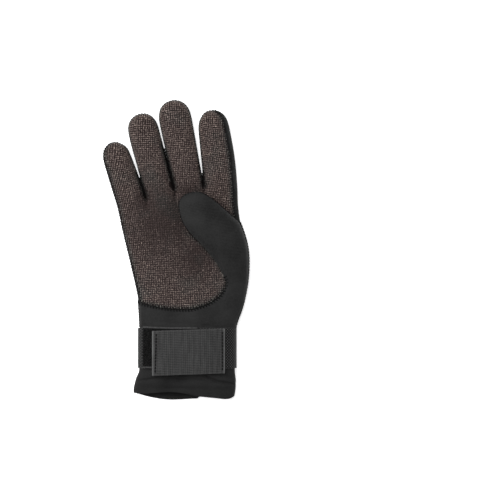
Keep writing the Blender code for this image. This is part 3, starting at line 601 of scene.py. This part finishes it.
def from_line(places, start, end):
    """How far these places are from the line between two pixels, seen from above, in metres, and the share
    of the line that lies behind each."""
    start, end = np.array(at_pixel(*start)), np.array(at_pixel(*end))
    run = end - start
    share = np.clip(((places[:, :2] - start) @ run) / (run @ run), 0.0, 1.0)
    return np.linalg.norm(places[:, :2] - start - share[:, None] * run, axis=1), share


def press_folds(piece, folds):
    """Presses fold lines into the top of a piece, each with a low swell on both its sides."""
    places, normals = vertex_table(piece)
    depth_here = np.zeros(len(places))
    for x0, y0, x1, y1, depth, width in folds:
        away, share = from_line(places, (x0, y0), (x1, y1))
        away = away / (width * MM)
        taper = np.sin(np.pi * np.clip(share, FOLD_FADE, 1.0 - FOLD_FADE)) ** 0.5
        shape = np.exp(-away ** 2) - FOLD_SWELL * np.exp(-((away - SWELL_PLACE) / SWELL_SPREAD) ** 2)
        depth_here += depth * MM * taper * shape
    facing = np.clip(normals[:, 2] * 2.0 - 0.3, 0.0, 1.0)
    set_places(piece, places - normals * (depth_here * facing)[:, None])


def ripple(piece, seed):
    """Soft unevenness of stuffed or handled cloth, the same on both sides of a wall, and none at the
    floor."""
    places, _ = vertex_table(piece)
    shift = Vector((seed * 7.3, seed * 3.1, seed * 5.7))
    heights = np.array([noise.noise(Vector(place) / RIPPLE_SIZE + shift) for place in places])
    floor_room = np.clip(places[:, 2] / RIPPLE_ROOM, 0.0, 1.0)
    set_places(piece, places + UP * (heights * RIPPLE_DEPTH * floor_room)[:, None])


def outer_corners(piece):
    """The numbers of the vertices of the outer sheet."""
    faces = (face for face in piece.data.polygons if face.material_index == OUTSIDE)
    return sorted({corner for face in faces for corner in face.vertices})


def sink_seams(piece, lines, depth, width):
    """Pulls the outer sheet in along its seams."""
    seams = tree_of(lines)
    places, normals = vertex_table(piece)
    moved = places.copy()
    for corner in outer_corners(piece):
        away = seams.find(Vector(places[corner]))[2] / width
        moved[corner] -= normals[corner] * depth * math.exp(-away * away)
    set_places(piece, moved)


def swell_sides(piece):
    """Fills out the sides of the hand, where the rounding took a little off, and opens the gaps between
    fingers."""
    places, normals = vertex_table(piece)
    corners = outer_corners(piece)
    depth = np.full(len(corners), SIDE_SWELL)
    for top_x, top_y, close_x, close_y, _, _, swell in FINGER_GAPS:
        away, _ = from_line(places[corners], (top_x, top_y), (close_x, close_y))
        share = np.clip(2.0 - 2.0 * away / GAP_REACH, 0.0, 1.0)
        depth = depth * (1.0 - share) + swell * MM * share
    places[corners, :2] += normals[corners, :2] * depth[:, None]
    set_places(piece, places)


def slide_seam(pieces):
    """Carries the seam on the little finger's side out to the edge of the hand. The hand's outline stays."""
    tables = [vertex_table(piece)[0] for piece in pieces]
    together = np.vstack(tables)
    ends = np.array(SLIDE_ENDS)
    heights = at_pixel(0.0, ends[:, 0])[1]
    rows = np.arange(heights.min(), heights.max(), SLIDE_ROW)
    edge = [together[np.abs(together[:, 1] - row) < SLIDE_ROW, 0].min() for row in rows]
    before, after = (np.array(SEAM_SLIDE) * PIXEL).T
    for piece, places in zip(pieces, tables):
        inward = places[:, 0] - np.interp(places[:, 1], rows, edge)
        slide = np.interp(inward, before, after) - inward
        slide[inward > before[-1]] = 0.0
        places[:, 0] += slide * np.interp(places[:, 1], heights[::-1], ends[::-1, 1])
        set_places(piece, places)


def shape_hem(piece):
    """Draws the front of the hem up over the opening, and lets the back of it hang a little lower."""
    places, _ = vertex_table(piece)
    near = np.clip(1.0 - (places[:, 1] - places[:, 1].min()) / HEM_REACH, 0.0, 1.0) ** HEM_FADE
    at_hem = places[near > HEM_NEAR]
    middle = (at_hem[:, 2].min() + at_hem[:, 2].max()) / 2.0
    front = np.clip((places[:, 2] - middle) / MM, 0.0, 1.0)
    table = np.array(HEM_SHAPE)
    marks = (table[:, 0] - ORIGIN_PIXEL[0]) * PIXEL
    rise = np.interp(places[:, 0], marks, table[:, 1]) * MM
    drop = np.interp(places[:, 0], marks, table[:, 2]) * MM
    places[:, 1] += near * (front * rise - (1.0 - front) * drop)
    set_places(piece, places)


def tree_of(lines):
    """A search tree of all the points on these lines."""
    made = KDTree(sum(len(line) for line in lines))
    for line in lines:
        for place in line:
            made.insert(Vector(place), 0)
    made.balance()
    return made


def surface_of(*pieces, outer_only=False):
    """One search tree of all these pieces' faces, or of their outer sheets alone."""
    points, faces = [], []
    for piece in pieces:
        start = len(points)
        points += [vertex.co.copy() for vertex in piece.data.vertices]
        for face in piece.data.polygons:
            if face.material_index == OUTSIDE or not outer_only:
                faces.append([start + corner for corner in face.vertices])
    return BVHTree.FromPolygons(points, faces)


def rim_loops(piece):
    """The closed lines where the outer sheet ends, as arrays of places, the one with most points first."""
    mesh = piece.data
    owners = {}
    for face in mesh.polygons:
        for key in face.edge_keys:
            owners.setdefault(key, []).append(face.material_index)
    following = {}
    for (a, b), sides in owners.items():
        if sorted(sides) == [0, OUTSIDE]:
            following.setdefault(a, []).append(b)
            following.setdefault(b, []).append(a)
    loops = []
    seen = set()
    for start in following:
        if start in seen:
            continue
        line = [start]
        seen.add(start)
        while True:
            ahead = [corner for corner in following[line[-1]] if corner not in seen]
            if not ahead:
                break
            line.append(ahead[0])
            seen.add(ahead[0])
        loops.append(line)
    loops.sort(key=len, reverse=True)
    places, _ = vertex_table(piece)
    return [places[line] for line in loops]


def lengths_along(line):
    """How far along a closed line each of its points is, with its whole length last."""
    steps = np.linalg.norm(np.diff(np.vstack([line, line[:1]]), axis=0), axis=1)
    return np.concatenate([[0.0], np.cumsum(steps)])


def resampled(line, step):
    """Points at an even step along a closed line."""
    lengths = lengths_along(line)
    line = np.vstack([line, line[:1]])
    count = max(2, int(round(lengths[-1] / step)))
    marks = np.linspace(0.0, lengths[-1], count, endpoint=False)
    return np.stack([np.interp(marks, lengths, line[:, axis]) for axis in range(3)], axis=1)


class Threads:
    """Fine tubes that end up in one mesh."""

    def __init__(self, sides=5):
        self.sides = sides
        self.points = []
        self.faces = []

    def add(self, line, radius):
        line = np.asarray(line, float)
        count, sides = len(line), self.sides
        ways = unit(np.gradient(line, axis=0))
        aside = unit(np.cross(ways, ASKEW))
        up = np.cross(aside, ways)
        start = len(self.points)
        for number in range(count):
            size = radius * (THREAD_TAPER if number in (0, count - 1) else 1.0)
            for side in range(sides):
                angle = 2.0 * math.pi * side / sides
                around = aside[number] * math.cos(angle) + up[number] * math.sin(angle)
                self.points.append(tuple(line[number] + around * size))
        for number in range(count - 1):
            for side in range(sides):
                after = (side + 1) % sides
                low, high = start + number * sides, start + (number + 1) * sides
                self.faces.append((low + side, low + after, high + after, high + side))
        self.faces.append(tuple(start + side for side in reversed(range(sides))))
        self.faces.append(tuple(start + (count - 1) * sides + side for side in range(sides)))

    def piece(self, name, finish):
        return new_piece(name, self.points, self.faces, finish)


def new_piece(name, points, faces, finish):
    """A piece from points and faces, its normals turned outwards."""
    mesh = bpy.data.meshes.new(name)
    mesh.from_pydata([tuple(point) for point in points], [], faces)
    mesh.materials.append(finish)
    piece = bpy.data.objects.new(name, mesh)
    bpy.context.scene.collection.objects.link(piece)
    only(piece)
    bpy.ops.object.mode_set(mode="EDIT")
    edit.select_all(action="SELECT")
    edit.normals_make_consistent(inside=False)
    edit.faces_shade_smooth()
    bpy.ops.object.mode_set(mode="OBJECT")
    return piece


def set_attribute(piece, name, values):
    made = piece.data.attributes.new(name, "FLOAT", "POINT")
    made.data.foreach_set("value", np.asarray(values, np.float32))


def flat_patches(piece):
    """The outer sheet's triangles in its flat layout, with their places and normals in space."""
    mesh = piece.data
    mesh.calc_loop_triangles()
    uv = mesh.uv_layers.active.data
    places, normals = vertex_table(piece)
    flat, solid, ways = [], [], []
    for triangle in mesh.loop_triangles:
        if mesh.polygons[triangle.polygon_index].material_index != OUTSIDE:
            continue
        flat.append([tuple(uv[loop].uv) for loop in triangle.loops])
        solid.append(places[list(triangle.vertices)])
        ways.append(normals[list(triangle.vertices)])
    return np.array(flat), np.array(solid), np.array(ways)


def lattice_on(piece):
    """Points in even rows over the outer sheet, with the flat layout's two directions and the normal at
    each."""
    flat, solid, ways = flat_patches(piece)
    corners = [Vector((u, v, 0.0)) for patch in flat for u, v in patch]
    tree = BVHTree.FromPolygons(corners, [(i, i + 1, i + 2) for i in range(0, len(corners), 3)])
    low, high = flat.reshape(-1, 2).min(axis=0), flat.reshape(-1, 2).max(axis=0)
    found = []
    for v in np.arange(low[1], high[1], BAR_PITCH):
        for u in np.arange(low[0], high[0], BAR_PITCH):
            shift_u, shift_v = (rng.uniform(-BAR_JITTER, BAR_JITTER) * BAR_PITCH for _ in range(2))
            spot = Vector((u + shift_u, v + shift_v, 0.0))
            place, _, index, away = tree.find_nearest(spot, BAR_PITCH)
            if place is not None and away < ON_SHEET:
                found.append((index, spot.x, spot.y))
    index = np.array([entry[0] for entry in found])
    spots = np.array([entry[1:] for entry in found])
    a, b, c = flat[index, 0], flat[index, 1], flat[index, 2]
    ab, ac, ap = b - a, c - a, spots - a
    det = ab[:, 0] * ac[:, 1] - ab[:, 1] * ac[:, 0]
    s = (ap[:, 0] * ac[:, 1] - ap[:, 1] * ac[:, 0]) / det
    t = (ab[:, 0] * ap[:, 1] - ab[:, 1] * ap[:, 0]) / det
    share = np.stack([1.0 - s - t, s, t], axis=1)
    places = np.einsum("ij,ijk->ik", share, solid[index])
    normal = unit(np.einsum("ij,ijk->ik", share, ways[index]))
    edge1 = solid[index, 1] - solid[index, 0]
    edge2 = solid[index, 2] - solid[index, 0]
    way_u = (edge1 * ac[:, 1:2] - edge2 * ab[:, 1:2]) / det[:, None]
    way_v = (edge2 * ab[:, 0:1] - edge1 * ac[:, 0:1]) / det[:, None]
    return places, way_u, way_v, normal


def hollow_share(place):
    """How far a place lies in the hollow of the palm, 0 to 1."""
    share = 0.0
    for px, py, reach in PALM_HOLLOWS:
        x, y = at_pixel(px, py)
        away = math.hypot(place[0] - x, place[1] - y) / (reach * PIXEL)
        share = max(share, math.exp(-away ** 2))
    return share


def grip_relief(name, piece, finish):
    """The grip's raised bars, in rows over the outer sheet. Each lies along or across the hand, as in a
    maze."""
    places, way_u, way_v, normal = lattice_on(piece)
    rims = tree_of(rim_loops(piece))
    away = np.array([rims.find(Vector(place))[2] for place in places])
    creases = [from_line(places, gap[2:4], gap[4:6])[0] for gap in FINGER_GAPS]
    from_crease = np.min(creases, axis=0)
    ring = []
    for number in range(BAR_SIDES):
        angle = 2.0 * math.pi * (number + 0.5) / BAR_SIDES
        ring.append((math.cos(angle), math.sin(angle)))
    points, faces, shades, painted_light_shares = [], [], [], []
    for number, place in enumerate(places):
        if away[number] < BAR_MARGIN or from_crease[number] < CREASE_BARE:
            continue
        turn = rng.choice((0.0, 0.5)) * math.pi + rng.uniform(-BAR_TURN, BAR_TURN)
        length = BAR_LENGTH * rng.uniform(*BAR_LENGTHS) / 2.0
        width = BAR_WIDTH * rng.uniform(*BAR_WIDTHS) / 2.0
        height = BAR_HEIGHT * rng.uniform(*BAR_HEIGHTS)
        start = len(points)
        for level, size in ((-BAR_ROOT, 1.1), (height * 0.6, 1.0), (height, BAR_TOP)):
            for a, b in ring:
                a, b = a * length * size, b * width * size
                u = a * math.cos(turn) - b * math.sin(turn)
                v = a * math.sin(turn) + b * math.cos(turn)
                points.append(place + way_u[number] * u + way_v[number] * v + normal[number] * level)
        for low in (start, start + BAR_SIDES):
            for side in range(BAR_SIDES):
                after = (side + 1) % BAR_SIDES
                faces.append((low + side, low + after, low + BAR_SIDES + after, low + BAR_SIDES + side))
        faces.append(tuple(start + 2 * BAR_SIDES + side for side in range(BAR_SIDES)))
        faces.append(tuple(start + side for side in reversed(range(BAR_SIDES))))
        # Painted shade: the bars are darker in the hollow of the palm
        shade = rng.gauss(0.5, SHADE_SPREAD) - HOLLOW_SHADE * hollow_share(place)
        # Painted shade: the bars fade to darkest towards the creases between the fingers
        near_crease = 1.0 - min(1.0, (from_crease[number] - CREASE_BARE) / CREASE_SHADE)
        shade = min(1.0, max(0.0, shade * (1.0 - near_crease)))
        # Painted light: the bars turn greyer towards the seams as painted sheen, and beside the creases as
        # painted shade
        painted_light_share = max(1.0 - min(1.0, (away[number] - BAR_MARGIN) / RIM_WIDTH), near_crease)
        shades += [shade] * 3 * BAR_SIDES
        painted_light_shares += [painted_light_share] * 3 * BAR_SIDES
    made = new_piece(name, points, faces, finish)
    set_attribute(made, "shade", shades)
    set_attribute(made, "rim", painted_light_shares)
    return made


def around(line):
    """The direction of a closed line at each of its points."""
    return unit(np.roll(line, -1, axis=0) - np.roll(line, 1, axis=0))


def sew_seam(threads, line, surface, keep, from_above):
    """Sews slanting stitches over a seam, and lays a black cord in its groove, which stands in for the shade
    there. The surface is that of the outer sheets, keep says where the seam shows, and from_above where the
    cloth rises beside it."""
    spots = resampled(line, STITCH_PITCH)
    for spot, way in zip(spots, around(spots)):
        out = outward(surface, spot)
        if out is None or not keep(spot):
            continue
        if from_above(spot):
            out = UP
        aside = unit(np.cross(way, out))
        reach = aside * STITCH_REACH + way * STITCH_SLANT / 2.0
        stitch = laid_over(surface, spot - reach, spot + reach) if from_above(spot) else None
        if stitch is None:
            stitch = laid_across(surface, spot - reach, spot + reach, out)
        threads.add(stitch, THREAD_RADIUS)
    # The black cord along the groove stands in for the shade there
    path = []
    for spot in [*resampled(line, SHADE_CORD_STEP), None]:
        if spot is not None and keep(spot):
            path.append(spot)
            continue
        if len(path) > 2:
            threads.add(path, SHADE_CORD_RADIUS)
        path = []


def laid_across(surface, start, end, out):
    """A stitch between two places, its ends sunk into the nearest cloth."""
    ends = [surface.find_nearest(Vector(place + out * THREAD_LIFT))[:2] for place in (start, end)]
    (first, first_out), (second, second_out) = [(np.array(place), np.array(normal)) for place, normal in ends]
    return [
        first - first_out * THREAD_RADIUS,
        first + first_out * THREAD_LIFT,
        (first + second) / 2.0 + out * THREAD_LIFT,
        second + second_out * THREAD_LIFT,
        second - second_out * THREAD_RADIUS,
    ]


def laid_over(surface, start, end):
    """A stitch between two places that follows the top of the cloth, its ends sunk in. There is none where
    the cloth ends or is too steep."""
    line = []
    for share in (0.0, 0.1, 0.5, 0.9, 1.0):
        lift = THREAD_LIFT if 0.0 < share < 1.0 else -THREAD_RADIUS
        spot = start + (end - start) * share
        place = surface.ray_cast(Vector((spot[0], spot[1], ABOVE_ALL)), DOWN)[0]
        if place is None:
            return None
        line.append(np.array(place) + UP * lift)
    return line if np.ptp([place[2] for place in line]) < STEEPEST_STITCH else None


def outward(surface, spot):
    """The way out of the cloth at a place on a seam, from the sheets on both its sides."""
    found = surface.find_nearest_range(Vector(spot), SEAM_NEAR)
    if not found:
        return None
    return unit(np.array([tuple(normal) for _, normal, _, _ in found]).sum(axis=0))


def developed(places):
    """Lays a ring round the wrist out flat: u runs round it from underneath, in metres. Returns each
    vertex's u and the ring's whole length."""
    low, high = places.min(axis=0), places.max(axis=0)
    across = (places[:, 0] * 2.0 - low[0] - high[0]) / (high[0] - low[0])
    upward = (places[:, 2] * 2.0 - low[2] - high[2]) / (high[2] - low[2])
    angles = np.arctan2(across, upward)
    radii = np.hypot(across, upward)
    bins = np.floor((angles + math.pi) / (2.0 * math.pi) * ANGLE_BINS).astype(int)
    ring = []
    for number in range(ANGLE_BINS):
        inside = np.flatnonzero(bins == number)
        if len(inside):
            ring.append(inside[np.argmax(radii[inside])])
    ring = sorted(ring, key=lambda corner: angles[corner])
    lengths = lengths_along(places[ring][:, [0, 2]])
    marks = np.append(angles[ring], angles[ring[0]] + 2.0 * math.pi)
    shifted = np.where(angles < marks[0], angles + 2.0 * math.pi, angles)
    return np.interp(shifted, marks, lengths), lengths[-1]


def set_uv(piece, u, v):
    """Writes a flat layout, one place for each vertex."""
    mesh = piece.data
    layer = mesh.uv_layers.active or mesh.uv_layers.new(name="flat")
    index = np.array([loop.vertex_index for loop in mesh.loops])
    layer.data.foreach_set("uv", np.stack([u[index], v[index]], axis=1).astype(np.float32).ravel())


def cut_rings(along_y, cuts):
    """In edit mode, cuts every long edge that runs along the hand, or else across it."""
    piece = bpy.context.active_object
    edit.select_mode(type="EDGE")
    shape = bmesh.from_edit_mesh(piece.data)
    for edge in shape.edges:
        way = edge.verts[1].co - edge.verts[0].co
        right_way = abs(way.y) > abs(way.x) + abs(way.z) if along_y else abs(way.x) > abs(way.y)
        edge.select_set(way.length > LONG_EDGE and right_way)
    bmesh.update_edit_mesh(piece.data)
    edit.subdivide(number_cuts=cuts)
    edit.select_mode(type="FACE")


def strip_piece(name, node, finish, levels, cuts):
    """A strap piece from its node's solid, cut into short rows, its edges kept nearly square."""
    piece = opened_copy(name, node)
    crease_rims(piece, STRIP_CREASE)
    if cuts:
        cut_rings(True, cuts)
        cut_rings(False, 2 * cuts)
    bpy.ops.object.mode_set(mode="OBJECT")
    piece.data.materials.clear()
    piece.data.materials.append(finish)
    soften(piece, levels)
    return piece


def weave_band(piece):
    """Raises the twill's floats on the band, and notes how high each one is for the painted highlight on its
    top.
    """
    places, normals = vertex_table(piece)
    u, length = developed(places)
    v = places[:, 1]
    pitch = length / round(length / TWILL_PITCH)
    weave = np.sin(u * 2.0 * math.pi / pitch) * np.cos(v * 2.0 * math.pi / TWILL_PITCH) * 0.5 + 0.5
    set_uv(piece, u, v)
    set_attribute(piece, "weave", weave)
    room = np.clip((places[:, 2] - TWILL_CLEAR) / MM, 0.0, 1.0)
    set_places(piece, places + normals * ((weave - 0.5) * TWILL_DEPTH * room)[:, None])


def tab_frame(piece):
    """The tab's middle, how far it tilts, and half its length and width."""
    low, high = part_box("strap_tab")
    places, _ = vertex_table(piece)
    middle = (places.min(axis=0) + places.max(axis=0)) / 2.0
    left = places[places[:, 0] < low.x + END_NEAR]
    right = places[places[:, 0] > high.x - END_NEAR]
    tilt = (right[:, 1].mean() - left[:, 1].mean()) / (high.x - low.x)
    return middle, tilt, (high.x - low.x) / 2.0, (left[:, 1].max() - left[:, 1].min()) / 2.0


def weave_tab(piece):
    """Raises the tab's ribs and its folded ends, and marks its pale edges."""
    places, normals = vertex_table(piece)
    middle, tilt, half_length, half_width = tab_frame(piece)
    x = places[:, 0] - middle[0]
    y = places[:, 1] - middle[1] - x * tilt
    ribs = np.cos(2.0 * math.pi * x / RIB_PITCH) * 0.5 + 0.5
    ends = np.clip((np.abs(x) - half_length + SELVAGE) / EDGE_BLUR, 0.0, 1.0)
    sides = np.clip((np.abs(y) - half_width + TAB_EDGE) / EDGE_BLUR, 0.0, 1.0)
    set_uv(piece, x, y)
    set_attribute(piece, "weave", ribs)
    set_attribute(piece, "edge", np.maximum(ends, sides * 0.5))
    lift = (ribs - 0.5) * RIB_DEPTH * (1.0 - ends) + ends * SELVAGE_RISE
    set_places(piece, places + normals * (lift * np.clip(normals[:, 2] * 3.0, 0.0, 1.0))[:, None])


def sew_tab(threads, piece):
    """The rows of running stitches near the tab's two ends."""
    middle, tilt, half_length, half_width = tab_frame(piece)
    surface = surface_of(piece)
    count = int((half_width - TAB_STITCH_MARGIN / 2.0) * 2.0 / TAB_STITCH_PITCH)
    for lower_inset, upper_inset, end in TAB_ROWS:
        for number in range(count):
            y = (number - (count - 1) / 2.0) * TAB_STITCH_PITCH
            share = y / half_width / 2.0 + 0.5
            inset = lower_inset + (upper_inset - lower_inset) * share
            x = end * (half_length - inset * MM)
            line = []
            for place_along, lift in ((-0.5, -0.5), (-0.4, 0.1), (0.0, 0.25), (0.4, 0.1), (0.5, -0.5)):
                along = y + place_along * TAB_STITCH_LENGTH
                spot = Vector((middle[0] + x, middle[1] + along + x * tilt, ABOVE_ALL))
                place = surface.ray_cast(spot, DOWN)[0]
                line.append(np.array(place) + UP * lift * MM)
            threads.add(line, TAB_STITCH_RADIUS)


def shape_tape(piece):
    """Widens the loop tape a little, sets its upper edge askew and marks its woven edges."""
    places, normals = vertex_table(piece)
    low, high = places.min(axis=0), places.max(axis=0)
    middle = (low + high) / 2.0
    y = (places[:, 1] - middle[1]) * TAPE_STRETCH
    upper = np.clip(y / (high[1] - middle[1]), 0.0, 1.0)
    leftward = np.clip((middle[0] - places[:, 0]) / (middle[0] - low[0]), 0.0, 1.0)
    places[:, 1] = middle[1] + y + upper * leftward * TAPE_TILT
    from_edge = (high[1] - middle[1]) * TAPE_STRETCH - np.abs(y)
    edge = np.clip((TAPE_EDGE - from_edge) / EDGE_BLUR + 0.5, 0.0, 1.0)
    edge = edge * (normals[:, 2] > 0.0)
    set_attribute(piece, "edge", edge)
    set_places(piece, places)


def pile_loops(base, limit_x):
    """Fine loops of pile standing on the part of the tape that the tab leaves bare."""
    threads = Threads(sides=3)
    low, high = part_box("loop_patch")
    surface = surface_of(base)
    for _ in range(PILE_COUNT):
        x = rng.uniform(low.x + PILE_MARGIN, limit_x)
        y = rng.uniform(low.y + TAPE_EDGE, high.y - TAPE_EDGE + 0.3 * MM)
        place = surface.ray_cast(Vector((x, y, ABOVE_ALL)), DOWN)[0]
        turn = rng.uniform(0.0, 2.0 * math.pi)
        span = PILE_SPAN * rng.uniform(*PILE_SPANS)
        height = PILE_HEIGHT * rng.uniform(*PILE_HEIGHTS)
        lean = np.array([*(rng.uniform(-PILE_LEAN, PILE_LEAN) for _ in range(2)), 1.0]) * height
        way = np.array([math.cos(turn), math.sin(turn), 0.0]) * span
        if place is None:
            continue
        line = []
        for share in (0.0, 0.2, 0.5, 0.8, 1.0):
            rise = math.sin(math.pi * share)
            line.append(np.array(place) + way * (share - 0.5) + lean * (rise - 0.1))
        threads.add(line, PILE_RADIUS)
    return threads


def finish_piece(piece, slot, *nodes):
    """Attaches the piece to the root body, and hides the nodes that it stands for. The slot is not used."""
    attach(piece, "root")
    if nodes:
        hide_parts(*nodes)


def declare_panel(piece):
    """Reads the flat cut of a sewn panel's outer sheet, and does nothing more with it."""
    flat = flat_patches(piece)[0]


def make_camera():
    x, y = at_pixel(*PHOTO_MIDDLE)
    bpy.ops.object.camera_add(location=(x, y, CAMERA_HEIGHT + GLOVE_PLANE), rotation=(0.0, 0.0, 0.0))
    camera = bpy.context.active_object
    camera.name = "camera"
    camera.data.sensor_width = SENSOR
    camera.data.lens = SENSOR * CAMERA_HEIGHT / (PHOTO_SIZE * PIXEL)
    camera.data.clip_end = 20.0
    bpy.context.scene.camera = camera


def make_light(name, place, size, power):
    bpy.ops.object.light_add(type="AREA", location=place)
    light = bpy.context.active_object
    light.name = name
    light.data.shape = "RECTANGLE"
    light.data.size, light.data.size_y = size
    light.data.energy = power
    light.rotation_euler = (-Vector(place)).to_track_quat("-Z", "Y").to_euler()


def make_room():
    edit.primitive_plane_add(size=FLOOR_SIZE, location=(0.0, 0.0, -FLOOR_DROP))
    floor = bpy.context.active_object
    floor.name = "floor"
    only(floor)
    bpy.ops.object.transform_apply(location=True, rotation=False, scale=True)
    floor.data.materials.append(studio_floor())
    for light in LIGHTS:
        make_light(*light)
    world = bpy.data.worlds.new("white_studio")
    bpy.context.scene.world = world
    world.use_nodes = True
    world.node_tree.nodes["Background"].inputs["Color"].default_value = colour("ffffff")
    world.node_tree.nodes["Background"].inputs["Strength"].default_value = WORLD_LIGHT
    bpy.context.scene.view_settings.view_transform = "Standard"


def make_hand(thread):
    """The glove's own panels with their grip, their folds and the seams that join them."""
    jersey = jersey_neoprene("black_jersey_neoprene", "151515", "272727")
    # Painted shade: the cuff's neoprene is a darker copy of the same jersey, because the cuff lies in shade
    shaded_cuff_jersey = jersey_neoprene("black_cuff_neoprene_painted_shade", "121212", "222222")
    lining = jersey_neoprene("neoprene_lining", "1b1b1b", "282828")
    ground = grip_ground()
    bars = grip_bars()
    palm = panel("grip_palm", "palm_panel", ground, lining)
    back = panel("back_of_hand", "back_panel", jersey, lining, top=False)
    thumb = panel("thumb_and_wrist_front", "thumb_panel", jersey, lining)
    thumb_grip = panel("thumb_grip_palm", "thumb_grip", ground, lining, top=False)
    cuff = panel("gauntlet_cuff", "cuff", shaded_cuff_jersey, lining)
    creases = [(*gap[2:6], CREASE_DEPTH, CREASE_WIDTH) for gap in FINGER_GAPS]
    press_folds(palm, PALM_FOLDS + creases)
    press_folds(thumb, THUMB_FOLDS)
    press_folds(cuff, CUFF_FOLDS)
    for number, piece in enumerate((palm, back, thumb, cuff)):
        ripple(piece, number)
        swell_sides(piece)
    slide_seam((palm, back, thumb))
    shape_hem(cuff)

    palm_seam = rim_loops(palm)[0]
    thumb_seam = rim_loops(thumb)[0]
    lines = [palm_seam, thumb_seam]
    for piece in (palm, back, thumb, thumb_grip):
        sink_seams(piece, lines, SEAM_SINK, SEAM_SINK_WIDTH)
    palm_bars = grip_relief("grip_palm_bars", palm, bars)
    thumb_bars = grip_relief("thumb_grip_bars", thumb_grip, bars)

    surface = surface_of(palm, back, thumb, thumb_grip, outer_only=True)
    under_thumb = surface_of(thumb_grip)
    palm_points = tree_of([palm_seam])
    thumb_points = tree_of([thumb_seam])
    band_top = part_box("wrist_band")[1].y

    def palm_in_sight(spot):
        above = under_thumb.ray_cast(Vector(spot) + Vector((0.0, 0.0, 0.3 * MM)), -DOWN)
        return above[0] is None

    def beside_thumb(spot):
        return thumb_points.find(Vector(spot))[2] < SAME_SEAM

    def only_thumb(spot):
        return spot[1] > band_top and palm_points.find(Vector(spot))[2] > SAME_SEAM

    stitches = Threads()
    sew_seam(stitches, palm_seam, surface, palm_in_sight, beside_thumb)
    sew_seam(stitches, thumb_seam, surface, only_thumb, lambda spot: False)
    stitches = stitches.piece("seam_stitches", thread)

    finish_piece(palm, "grip", "palm_panel")
    finish_piece(back, "neoprene", "back_panel")
    finish_piece(thumb, "neoprene", "thumb_panel")
    finish_piece(thumb_grip, "grip", "thumb_grip")
    finish_piece(cuff, "neoprene", "cuff")
    finish_piece(palm_bars, "grip")
    finish_piece(thumb_bars, "grip")
    finish_piece(stitches, "neoprene")
    declare_panel(back)
    declare_panel(palm)
    declare_panel(thumb)
    declare_panel(thumb_grip)
    declare_panel(cuff)


def make_strap(thread):
    """The band round the wrist, the loop tape on it, and the tab that closes over the tape."""
    band = strip_piece("wrist_band_twill", "wrist_band", twill(), 3, BAND_CUTS)
    weave_band(band)
    finish_piece(band, "twill_webbing", "wrist_band")
    low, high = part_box("wrist_band")
    _, girth = developed(vertex_table(band)[0])

    tape = strip_piece("loop_tape", "loop_patch", loop_tape(), 2, BAND_CUTS)
    shape_tape(tape)
    tab = strip_piece("closure_tab", "strap_tab", ribbed_webbing(), 4, 0)
    weave_tab(tab)
    pile = pile_loops(tape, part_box("strap_tab")[0].x + PILE_MARGIN).piece("loop_pile_fibres", loop_pile())
    rows = Threads(sides=6)
    sew_tab(rows, tab)
    rows = rows.piece("tab_stitches", thread)
    finish_piece(tape, "loop_pile", "loop_patch")
    finish_piece(pile, "loop_pile")
    finish_piece(tab, "ribbed_webbing", "strap_tab")
    finish_piece(rows, "ribbed_webbing")
    for piece, node, below, carried in (
        (tape, "loop_patch", "wrist_band_twill", pile), (tab, "strap_tab", "loop_tape", rows)
    ):
        low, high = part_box(node)


thread = sewing_thread()
make_hand(thread)
make_strap(thread)
make_camera()
make_room()
